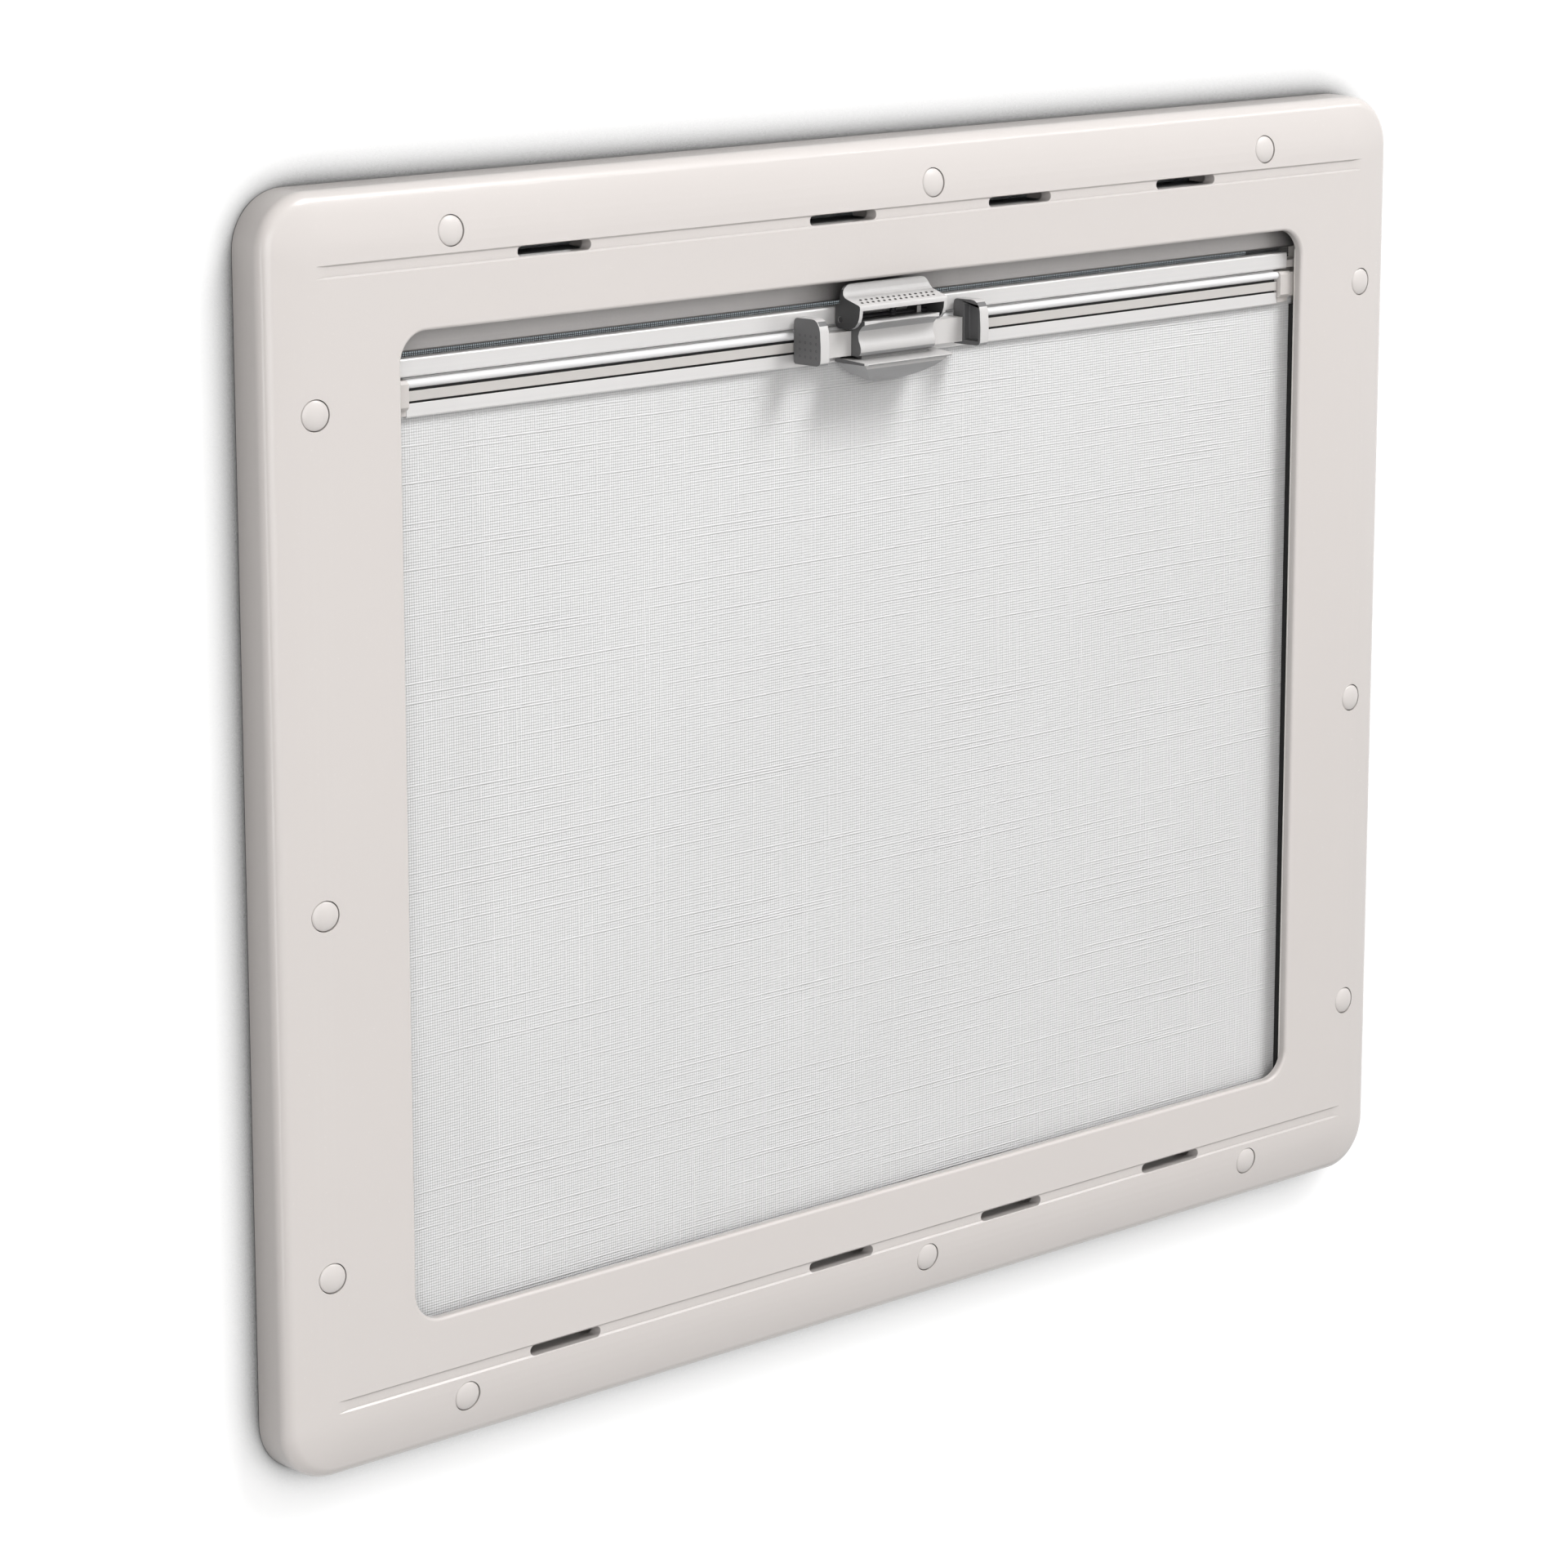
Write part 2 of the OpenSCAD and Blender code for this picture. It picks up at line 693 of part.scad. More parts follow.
module outer_pane() {
    y0 = pane_y + pane_sheet + pane_gap + 0.04;
    color([0.6, 0.64, 0.66, 0.4])
        difference() {
            hull() {
                slab(2 * pane_x, 2 * pane_z, 16, y0, y0 + pane_sheet);
                slab(2 * pane_x - 60, 2 * pane_z - 60, 40, y0, y0 + pane_sheet + pane_bulge * 0.6);
                slab(2 * pane_x - 160, 2 * pane_z - 160, 60, y0, y0 + pane_sheet + pane_bulge);
            }
            hull() {
                slab(2 * pane_x - 16, 2 * pane_z - 16, 14, y0 - 1, y0 + 0.02);
                slab(2 * pane_x - 62, 2 * pane_z - 62, 38, y0 - 1, y0 + pane_bulge * 0.6);
                slab(2 * pane_x - 162, 2 * pane_z - 162, 58, y0 - 1, y0 + pane_bulge);
            }
        }
}

module hinge_rail() {
    z = oz - 12;
    y = oy1 + 0.1;
    color([0.75, 0.76, 0.77])
        difference() {
            bar([[y, z], [y + 2, z], [y + 2, z + 5], [y + 6, z + 6], [y + 7.5, z + 8],
                [y + 6.6, z + 10.4], [y + 4, z + 11.4], [y, z + 11.4]], -pane_x, pane_x);
            rod_x(4.2, -pane_x - 1, pane_x + 1, y + 4.4, z + 8.2);
        }
}

module pane_rail() {
    y = pane_y + 2 * pane_sheet + pane_gap + 1.2;
    z = oz - 0.6;
    color([0.72, 0.73, 0.74])
        bar([[y, pane_z - 6], [y + 2, pane_z - 6], [y + 2, z - 2], [y + 0.6, z + 0.4], [y - 2, z + 1.5],
            [oy1 + 5, z + 1.5], [oy1 + 5, z + 0.3], [y - 1.4, z - 0.6], [y, z - 2.4]],
            -pane_x + 12, pane_x - 12);
}

module hinge_ends() {
    z = oz - 12;
    y = oy1 + 0.1;
    color([0.15, 0.15, 0.16])
        mirrored_x()
            block(pane_x + 0.2, pane_x + 3, y, y + 7.4, z, z + 11.2);
}

stay_x = ax - 4;
stay_y = oy - 9;
stay_z = 60;

module stay_tubes() {
    color([0.7, 0.71, 0.72])
        mirrored_x()
            translate([stay_x, stay_y, stay_z - stay_length])
                difference() {
                    cylinder(d = stay_tube, h = stay_length);
                    translate([0, 0, -1])
                        cylinder(d = stay_rod + 0.6, h = stay_length - 11);
                }
}

module stay_rods() {
    color([0.75, 0.76, 0.77])
        mirrored_x()
            translate([stay_x, stay_y, stay_z - stay_length - 22])
                cylinder(d = stay_rod, h = stay_length - 20);
}

module stay_knobs() {
    color([0.1, 0.1, 0.1])
        mirrored_x()
            translate([stay_x, stay_y, stay_z - stay_length - 16])
                difference() {
                    cylinder(d = stay_tube + 5, h = 15, $fn = 60);
                    translate([0, 0, -1])
                        cylinder(d = stay_rod + 0.2, h = 17);
                }
}

module stay_frame_brackets() {
    color([0.12, 0.12, 0.13])
        mirrored_x() {
            block(stay_x - 5, stay_x + 5, stay_y - 5, stay_y + 5, stay_z + 0.2, stay_z + 12);
            block(stay_x + 4, cut_x - 1 - sleeve - 0.1, stay_y - 5, stay_y + 5, stay_z + 2, stay_z + 12);
        }
}

module stay_pane_brackets() {
    z = stay_z - stay_length - 30;
    color([0.12, 0.12, 0.13])
        mirrored_x()
            difference() {
                union() {
                    block(stay_x - 6, stay_x + 6, stay_y - 5, stay_y + 5, z - 4, z + 10);
                    block(stay_x - 6, stay_x + 6, stay_y + 4, pane_y - 0.05, z - 4, z + 10);
                }
                translate([stay_x, stay_y, z + 8])
                    cylinder(d = stay_rod + 0.2, h = 8);
            }
}

catch_x = [-0.28 * overall_width, 0.28 * overall_width];
catch_z = -(pane_z - 34);

module catch_bases() {
    color([0.12, 0.12, 0.13])
        for (x = catch_x)
            difference() {
                block(x - 16, x + 16, pane_y - 8, pane_y - 0.05, catch_z - 9, catch_z + 11);
                rod_y(6.4, pane_y - 9, pane_y - 3, x, catch_z + 2);
            }
}

module catch_levers() {
    color([0.16, 0.16, 0.17])
        for (x = catch_x) {
            rod_y(6, pane_y - 12, pane_y - 3.2, x, catch_z + 2);
            translate([x, 0, catch_z + 2])
                slab(12, 12, 3, pane_y - 17, pane_y - 8.2);
            block(x - 5, x + 46, pane_y - 17, pane_y - 12, catch_z - 3, catch_z + 7);
            block(x - 5, x + 5, pane_y - 17, pane_y - 12.2, catch_z - 26, catch_z + 2);
        }
}

module catch_keepers() {
    color([0.3, 0.3, 0.31])
        for (x = catch_x)
            block(x - 12, x + 12, oy - 2.7, oy - 1.05, -(pane_z - 20) - 12, -(pane_z - 20) + 3);
}

module place() {
    translate([0, 0, lift])
        children();
}

place() inner_frame();
place() screw_caps();
place() top_cassette();
place() bottom_cassette();
place() roller_brackets();
place() flyscreen_roll();
place() blind_roll();
place() side_guides();
place() guide_brushes();
place() flyscreen_rail();
place() flyscreen_mesh();
place() blind_rail();
place() rail_bead();
place() rail_ends();
place() blind_cloth();
place() latch_bracket();
place() latch_ears();
place() latch_body();
place() latch_lever();
place() latch_pin();
place() latch_spring();
place() outer_frame();
place() wall_seal();
place() pane_seal();
place() inner_pane();
place() pane_spacer();
place() outer_pane();
place() hinge_rail();
place() pane_rail();
place() hinge_ends();
place() stay_tubes();
place() stay_rods();
place() stay_knobs();
place() stay_frame_brackets();
place() stay_pane_brackets();
place() catch_bases();
place() catch_levers();
place() catch_keepers();
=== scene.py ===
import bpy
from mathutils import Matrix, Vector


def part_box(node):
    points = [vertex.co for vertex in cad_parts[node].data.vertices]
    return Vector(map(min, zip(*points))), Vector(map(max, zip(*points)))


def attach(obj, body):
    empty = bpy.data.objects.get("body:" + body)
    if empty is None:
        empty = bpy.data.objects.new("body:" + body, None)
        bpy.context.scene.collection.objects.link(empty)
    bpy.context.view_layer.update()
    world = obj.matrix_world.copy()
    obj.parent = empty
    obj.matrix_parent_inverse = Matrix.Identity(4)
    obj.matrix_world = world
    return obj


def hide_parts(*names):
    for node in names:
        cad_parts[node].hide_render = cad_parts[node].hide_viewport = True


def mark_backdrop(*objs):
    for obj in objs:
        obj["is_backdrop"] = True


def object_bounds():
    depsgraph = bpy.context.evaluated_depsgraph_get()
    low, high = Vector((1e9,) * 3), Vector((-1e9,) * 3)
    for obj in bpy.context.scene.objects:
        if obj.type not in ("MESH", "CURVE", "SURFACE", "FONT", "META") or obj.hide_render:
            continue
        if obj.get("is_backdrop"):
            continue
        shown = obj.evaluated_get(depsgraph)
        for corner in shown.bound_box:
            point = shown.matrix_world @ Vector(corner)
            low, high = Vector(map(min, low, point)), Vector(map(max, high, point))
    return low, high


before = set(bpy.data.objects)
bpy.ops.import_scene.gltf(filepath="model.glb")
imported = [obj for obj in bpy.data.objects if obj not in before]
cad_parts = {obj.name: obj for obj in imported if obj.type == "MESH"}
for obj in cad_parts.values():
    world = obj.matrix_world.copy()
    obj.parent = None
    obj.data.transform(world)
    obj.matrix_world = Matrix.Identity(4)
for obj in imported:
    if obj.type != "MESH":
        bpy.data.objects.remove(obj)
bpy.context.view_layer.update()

import math

import bmesh
import bpy
from mathutils import Matrix, Vector

bl_info = {
    "name": "Caravan window",
    "version": (1, 0, 0),
    "blender": (4, 5, 0),
    "location": "View3D > Sidebar > Window",
    "description": "Builds the finished looks of a caravan window around its packed solids",
    "category": "Object",
}


# Settings a person may change

class FrameSettings(bpy.types.PropertyGroup):
    frame_colour: bpy.props.FloatVectorProperty(
        name="Frame colour", description="Warm grey of the room-side frame",
        subtype="COLOR", size=3, min=0, max=1, default=(0.665, 0.628, 0.608))
    cap_colour: bpy.props.FloatVectorProperty(
        name="Cap colour", description="Colour of the screw caps",
        subtype="COLOR", size=3, min=0, max=1, default=(0.68, 0.645, 0.625))
    lip_radius: bpy.props.FloatProperty(
        name="Lip radius", description="Rounding of the clear opening's front edge",
        subtype="DISTANCE", default=0.0019, min=0.0004, max=0.0025)
    edge_radius: bpy.props.FloatProperty(
        name="Edge radius", description="Rounding of the other moulded edges",
        subtype="DISTANCE", default=0.00035, min=0.0001, max=0.001)


class BlindSettings(bpy.types.PropertyGroup):
    cloth_colour: bpy.props.FloatVectorProperty(
        name="Cloth colour", description="Colour of the blind cloth",
        subtype="COLOR", size=3, min=0, max=1, default=(0.785, 0.785, 0.79))
    thread_pitch: bpy.props.FloatProperty(
        name="Thread pitch", description="Distance between two threads of the cloth",
        subtype="DISTANCE", default=0.0014, min=0.0006, max=0.004)
    rail_colour: bpy.props.FloatVectorProperty(
        name="Rail colour", description="Colour of the anodised rails",
        subtype="COLOR", size=3, min=0, max=1, default=(0.71, 0.70, 0.695))


class LatchSettings(bpy.types.PropertyGroup):
    latch_colour: bpy.props.FloatVectorProperty(
        name="Latch colour", description="Grey of the latch mouldings",
        subtype="COLOR", size=3, min=0, max=1, default=(0.63, 0.62, 0.615))
    dot_columns: bpy.props.IntProperty(
        name="Grip dots", description="Number of grip dots in each row",
        default=14, min=4, max=24)
    dot_radius: bpy.props.FloatProperty(
        name="Dot radius", description="Radius of one grip dot",
        subtype="DISTANCE", default=0.0007, min=0.0002, max=0.001)


class OutsideSettings(bpy.types.PropertyGroup):
    outer_colour: bpy.props.FloatVectorProperty(
        name="Outer frame colour", description="Colour of the outside frame",
        subtype="COLOR", size=3, min=0, max=1, default=(0.74, 0.74, 0.73))
    pane_tint: bpy.props.FloatVectorProperty(
        name="Pane tint", description="Tint of the acrylic sheets",
        subtype="COLOR", size=3, min=0, max=1, default=(0.62, 0.66, 0.68))


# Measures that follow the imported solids, in metres

OPENING_SIDE = 0.0195            # from the guides' outer side to just outside the opening's sides
OPENING_BAND = (0.046, 0.552)    # heights just below and above the opening
GROOVE_DEPTH = (0.0007, 0.0022)  # from the rail's front to the walls and floors of its grooves
BAND_HEIGHT = (0.0078, 0.0132)   # of the plastic band on the rail, above the rail's foot
CLOTH_WAVE = 0.0006              # how far the tight cloth bulges
EAR_WALL = 0.0011                # wall above and below an ear's hollow
EAR_SIDE = 0.001                 # wall at the hollow's outer side
EAR_FACE = 0.0012                # wall in front of the hollow
EAR_ROWS = 4                     # rows and columns of grip dots on an ear
EAR_START = (0.0036, 0.0046)     # from the ear's front and foot to the first dot
EAR_STEP = (0.0042, 0.0036)      # between the ear's dots along Y and Z
LEDGE_START = (0.0036, 0.00857)  # from the lever's front and top to the first row of dots
LEDGE_STEP = (0.0038, 0.0034, 0.00091)  # between the ledge's dots along X, Y and Z
LEDGE_SLOPE = (0, -2.8, 10.5)    # direction that the ledge faces
DOT_STAND = 0.00005              # how far the ears' dots start below the surface
DOT_RIM = 0.00006                # height of a dot's rim
DOT_PIT = 0.00004                # depth of a dot's middle
SPRING_WIRE = 0.00032            # radius of the coil's wire
SPRING_TURNS = 6
MERGE_DISTANCE = 0.000004        # points closer than this become one

# Measures of the stage, in metres

WINDOW_MIDDLE = 0.3              # height of the window's middle
WALL_FACE = 0.0004               # front of the wall, measured from the frame's back
WALL_LAP = 0.0008                # how much smaller the wall's hole is than the frame
WALL_CORNER = 0.0276             # cut corners of that hole
WALL_SPREAD = (8.0, 1, 3.2)      # size of the wall, in sizes of the hole
FLOOR_DROP = 0.75                # from the window's foot to the floor
LAMPS = (                        # name, place, target, size and power in watts
    ("key", (1.35, -2.1, 3.35), (0, 0, WINDOW_MIDDLE), (1.25, 1.25), 101),
    ("fill", (-2.1, -2.7, 0.8), (0, 0, WINDOW_MIDDLE), (2.4, 2.4), 46),
    ("upper_strip", (1.46, -1.33, 1.62), (0, 0, 0.6), (1.7, 0.07), 7),
    ("left_strip", (-2.3, -0.48, 0.2), (-0.38, 0, WINDOW_MIDDLE), (0.07, 1.7), 7),
    ("back", (0.8, 2.2, 1.8), (0, 0, WINDOW_MIDDLE), (1.6, 1.6), 30))
CAMERA_PLACE = (-1.57797, -1.77196, 0.85587)
CAMERA_TURN = (0.71241, 0.1905, -0.00069)  # yaw, pitch and roll in radians
CAMERA_LENS = 105.867            # millimetres, for a sensor 36 wide
CAMERA_SHIFT = -0.15


# Shader groups and materials

def new_group(name, inputs, outputs):
    group = bpy.data.node_groups.new(name, "ShaderNodeTree")
    for label, kind, value in inputs:
        socket = group.interface.new_socket(name=label, in_out="INPUT", socket_type=kind)
        if value is not None:
            socket.default_value = value
    for label, kind in outputs:
        group.interface.new_socket(name=label, in_out="OUTPUT", socket_type=kind)
    return group, group.nodes.new("NodeGroupInput"), group.nodes.new("NodeGroupOutput")


def math_node(tree, operation, a, b=None, clamp=False):
    node = tree.nodes.new("ShaderNodeMath")
    node.operation = operation
    node.use_clamp = clamp
    for k, value in enumerate((a, b)):
        if value is None:
            continue
        if isinstance(value, (int, float)):
            node.inputs[k].default_value = value
        else:
            tree.links.new(value, node.inputs[k])
    return node.outputs[0]


def noise_node(tree, vector, scale, detail=2.0, roughness=0.5):
    node = tree.nodes.new("ShaderNodeTexNoise")
    node.inputs["Detail"].default_value = detail
    node.inputs["Roughness"].default_value = roughness
    if isinstance(scale, (int, float)):
        node.inputs["Scale"].default_value = scale
    else:
        tree.links.new(scale, node.inputs["Scale"])
    tree.links.new(vector, node.inputs["Vector"])
    return node.outputs["Fac"]


def mapping_node(tree, vector, scale):
    node = tree.nodes.new("ShaderNodeMapping")
    node.inputs["Scale"].default_value = scale
    tree.links.new(vector, node.inputs["Vector"])
    return node.outputs[0]


def scaled_colour(tree, colour, factor):
    """A colour made lighter or darker by a factor."""
    shade = tree.nodes.new("ShaderNodeVectorMath")
    shade.operation = "SCALE"
    tree.links.new(colour, shade.inputs[0])
    tree.links.new(factor, shade.inputs["Scale"])
    return shade.outputs[0]


def swing_of(tree, noise, amount):
    """A noise's swing around zero, times an amount."""
    return math_node(tree, "MULTIPLY", math_node(tree, "SUBTRACT", noise, 0.5), amount)


def make_grain_group():
    """Fine mould texture and slow tone changes of moulded plastic."""
    group, gi, go = new_group(
        "mould_grain",
        [("Vector", "NodeSocketVector", None), ("Colour", "NodeSocketColor", (0.8, 0.8, 0.8, 1)),
         ("Grain Scale", "NodeSocketFloat", 1400.0), ("Tone", "NodeSocketFloat", 0.04),
         ("Roughness", "NodeSocketFloat", 0.45)],
        [("Colour", "NodeSocketColor"), ("Roughness", "NodeSocketFloat"), ("Height", "NodeSocketFloat")])
    vector = gi.outputs["Vector"]
    fine = noise_node(group, vector, gi.outputs["Grain Scale"], 3.0, 0.6)
    slow = noise_node(group, vector, 6.0, 3.0)
    gain = math_node(group, "ADD", swing_of(group, slow, gi.outputs["Tone"]), 1.0)
    group.links.new(scaled_colour(group, gi.outputs["Colour"], gain), go.inputs["Colour"])
    rough = math_node(group, "ADD", gi.outputs["Roughness"], swing_of(group, fine, 0.12), True)
    group.links.new(rough, go.inputs["Roughness"])
    group.links.new(fine, go.inputs["Height"])
    return group


def make_drawn_group():
    """Lines along an extruded metal profile, which runs along X."""
    group, gi, go = new_group(
        "drawn_lines",
        [("Vector", "NodeSocketVector", None), ("Colour", "NodeSocketColor", (0.7, 0.7, 0.7, 1)),
         ("Contrast", "NodeSocketFloat", 0.12), ("Roughness", "NodeSocketFloat", 0.32)],
        [("Colour", "NodeSocketColor"), ("Roughness", "NodeSocketFloat"), ("Height", "NodeSocketFloat")])
    long = mapping_node(group, gi.outputs["Vector"], (1.5, 700.0, 700.0))
    lines = noise_node(group, long, 1.0, 3.0, 0.6)
    slow = noise_node(group, gi.outputs["Vector"], 9.0, 2.0)
    mixed = math_node(group, "ADD", math_node(group, "MULTIPLY", lines, 0.7),
                      math_node(group, "MULTIPLY", slow, 0.3))
    swing = swing_of(group, mixed, gi.outputs["Contrast"])
    gain = math_node(group, "ADD", swing, 1.0)
    group.links.new(scaled_colour(group, gi.outputs["Colour"], gain), go.inputs["Colour"])
    rough = math_node(group, "ADD", gi.outputs["Roughness"], swing, True)
    group.links.new(rough, go.inputs["Roughness"])
    group.links.new(lines, go.inputs["Height"])
    return group


def make_weave_group():
    """A plain weave in the X and Z plane, with single thick threads that come and go both ways."""
    group, gi, go = new_group(
        "plain_weave",
        [("Vector", "NodeSocketVector", None), ("Colour", "NodeSocketColor", (0.8, 0.8, 0.8, 1)),
         ("Pitch", "NodeSocketFloat", 0.0014)],
        [("Colour", "NodeSocketColor"), ("Height", "NodeSocketFloat")])
    split = group.nodes.new("ShaderNodeSeparateXYZ")
    group.links.new(gi.outputs["Vector"], split.inputs[0])
    # the threads wander slightly from a straight line
    drift = noise_node(group, mapping_node(group, gi.outputs["Vector"], (9.0, 1.0, 9.0)), 1.0, 2.0)
    wander = swing_of(group, drift, 0.0016)
    valleys, slubs = [], []
    for axis, other, seed, strength in (("X", "Z", 3.7, 0.33), ("Z", "X", 8.3, 0.85)):
        place = math_node(group, "ADD", split.outputs[axis], wander)
        turn = math_node(group, "DIVIDE", place, gi.outputs["Pitch"])
        phase = math_node(group, "MULTIPLY", math_node(group, "FRACT", turn), math.pi)
        crest = math_node(group, "SINE", phase)
        valleys.append(math_node(group, "SUBTRACT", 1.0, crest))
        # one thread in a few is thick for some centimetres and fills the gaps beside it
        spread = group.nodes.new("ShaderNodeCombineXYZ")
        thread = math_node(group, "MULTIPLY", math_node(group, "FLOOR", turn), seed)
        group.links.new(thread, spread.inputs[0])
        group.links.new(math_node(group, "MULTIPLY", split.outputs[other], 7.0), spread.inputs[1])
        lottery = noise_node(group, spread.outputs[0], 1.0, 1.0)
        thick = math_node(group, "MULTIPLY", math_node(group, "SUBTRACT", lottery, 0.57), 9.0, True)
        thick = math_node(group, "MULTIPLY", thick, crest)
        slubs.append(math_node(group, "MULTIPLY", thick, strength))
    raised = math_node(group, "MAXIMUM", slubs[0], slubs[1])
    pit = math_node(group, "ADD", math_node(group, "MULTIPLY", valleys[0], 0.4),
                    math_node(group, "MULTIPLY", valleys[1], 0.6))
    pit = math_node(group, "MULTIPLY", pit, math_node(group, "SUBTRACT", 1.0, raised))
    grain = noise_node(group, gi.outputs["Vector"], 500.0, 2.0)
    height = math_node(group, "ADD", math_node(group, "SUBTRACT", raised, pit),
                       math_node(group, "MULTIPLY", grain, 0.35))
    group.links.new(height, go.inputs["Height"])
    slow = noise_node(group, gi.outputs["Vector"], 5.0, 2.0)
    # painted shade: the colour is darker in the valleys between threads, and thick threads a little lighter
    # as painted highlight; the slow swing is the cloth's own tone
    light = math_node(group, "SUBTRACT", 1.0, math_node(group, "MULTIPLY", pit, 0.3))
    light = math_node(group, "ADD", light, math_node(group, "MULTIPLY", raised, 0.012))
    light = math_node(group, "ADD", light, swing_of(group, slow, 0.07))
    group.links.new(scaled_colour(group, gi.outputs["Colour"], light), go.inputs["Colour"])
    return group


def make_net_group():
    """A square net of fine threads: a mask that is 1 on a thread."""
    group, gi, go = new_group(
        "net_threads",
        [("Vector", "NodeSocketVector", None), ("Pitch", "NodeSocketFloat", 0.0013),
         ("Cover", "NodeSocketFloat", 0.45)],
        [("Mask", "NodeSocketFloat"), ("Height", "NodeSocketFloat")])
    split = group.nodes.new("ShaderNodeSeparateXYZ")
    group.links.new(gi.outputs["Vector"], split.inputs[0])
    turns = math_node(group, "DIVIDE", math.pi, gi.outputs["Pitch"])
    waves = []
    for axis in ("X", "Z"):
        wave = math_node(group, "SINE", math_node(group, "MULTIPLY", split.outputs[axis], turns))
        waves.append(math_node(group, "ABSOLUTE", wave))
    low = math_node(group, "MINIMUM", waves[0], waves[1])
    group.links.new(math_node(group, "LESS_THAN", low, gi.outputs["Cover"]), go.inputs["Mask"])
    group.links.new(math_node(group, "SUBTRACT", 1.0, low), go.inputs["Height"])
    return group


GROUPS = {}


def group_of(name, maker):
    if name not in GROUPS:
        GROUPS[name] = maker()
    return GROUPS[name]


def start_material(name):
    material = bpy.data.materials.new(name)
    material.use_nodes = True
    tree = material.node_tree
    shader = tree.nodes["Principled BSDF"]
    coords = tree.nodes.new("ShaderNodeTexCoord").outputs["Object"]
    return material, tree, shader, coords


def place_group(tree, coords, name, maker, values):
    """A node of a shader group, with its own values and the object's coordinates."""
    use = tree.nodes.new("ShaderNodeGroup")
    use.node_tree = group_of(name, maker)
    tree.links.new(coords, use.inputs["Vector"])
    for label, value in values.items():
        use.inputs[label].default_value = value
    return use


def bump_into(tree, shader, height, strength, distance):
    bump = tree.nodes.new("ShaderNodeBump")
    bump.inputs["Strength"].default_value = strength
    bump.inputs["Distance"].default_value = distance
    tree.links.new(height, bump.inputs["Height"])
    tree.links.new(bump.outputs[0], shader.inputs["Normal"])


def plastic(name, colour, roughness=0.42, grain=1400.0, tone=0.04, bump=0.12):
    material, tree, shader, coords = start_material(name)
    use = place_group(tree, coords, "grain", make_grain_group, {
        "Colour": (*colour, 1), "Grain Scale": grain, "Tone": tone, "Roughness": roughness})
    tree.links.new(use.outputs["Colour"], shader.inputs["Base Color"])
    tree.links.new(use.outputs["Roughness"], shader.inputs["Roughness"])
    bump_into(tree, shader, use.outputs["Height"], bump, 0.0003)
    return material


def shade_near(material, distance, amount, most=1.0):
    """Paints shade into the colour: darkens it in corners and close to other surfaces, by most at the
    deepest.
    """
    tree = material.node_tree
    shader = tree.nodes["Principled BSDF"]
    source = shader.inputs["Base Color"].links[0].from_socket
    near = tree.nodes.new("ShaderNodeAmbientOcclusion")
    near.samples = 3
    near.inputs["Distance"].default_value = distance
    shut = math_node(tree, "MULTIPLY", math_node(tree, "SUBTRACT", 1.0, near.outputs["AO"]), amount)
    shut = math_node(tree, "MINIMUM", shut, most)
    left = math_node(tree, "SUBTRACT", 1.0, shut, True)
    tree.links.new(scaled_colour(tree, source, left), shader.inputs["Base Color"])
    return material


def drawn_metal(name, colour, roughness=0.32, metallic=0.25):
    material, tree, shader, coords = start_material(name)
    use = place_group(tree, coords, "drawn", make_drawn_group, {
        "Colour": (*colour, 1), "Roughness": roughness})
    shader.inputs["Metallic"].default_value = metallic
    tree.links.new(use.outputs["Colour"], shader.inputs["Base Color"])
    tree.links.new(use.outputs["Roughness"], shader.inputs["Roughness"])
    bump_into(tree, shader, use.outputs["Height"], 0.02, 0.0001)
    return material


def woven(name, colour, pitch):
    material, tree, shader, coords = start_material(name)
    use = place_group(tree, coords, "weave", make_weave_group, {
        "Colour": (*colour, 1), "Pitch": pitch})
    tree.links.new(use.outputs["Colour"], shader.inputs["Base Color"])
    shader.inputs["Roughness"].default_value = 0.85
    shader.inputs["Sheen Weight"].default_value = 0.1
    bump_into(tree, shader, use.outputs["Height"], 0.8, 0.0003)
    return material


def netting(name, colour):
    material, tree, shader, coords = start_material(name)
    use = place_group(tree, coords, "net", make_net_group, {})
    shader.inputs["Base Color"].default_value = (*colour, 1)
    shader.inputs["Roughness"].default_value = 0.6
    tree.links.new(use.outputs["Mask"], shader.inputs["Alpha"])
    bump_into(tree, shader, use.outputs["Height"], 0.3, 0.0002)
    return material


def acrylic(name, tint):
    material, tree, shader, coords = start_material(name)
    shader.inputs["Base Color"].default_value = (*tint, 1)
    shader.inputs["IOR"].default_value = 1.49
    shader.inputs["Transmission Weight"].default_value = 1.0
    haze = noise_node(tree, coords, 25.0, 3.0)
    tree.links.new(math_node(tree, "MULTIPLY", haze, 0.06), shader.inputs["Roughness"])
    return material


MATERIALS = {}


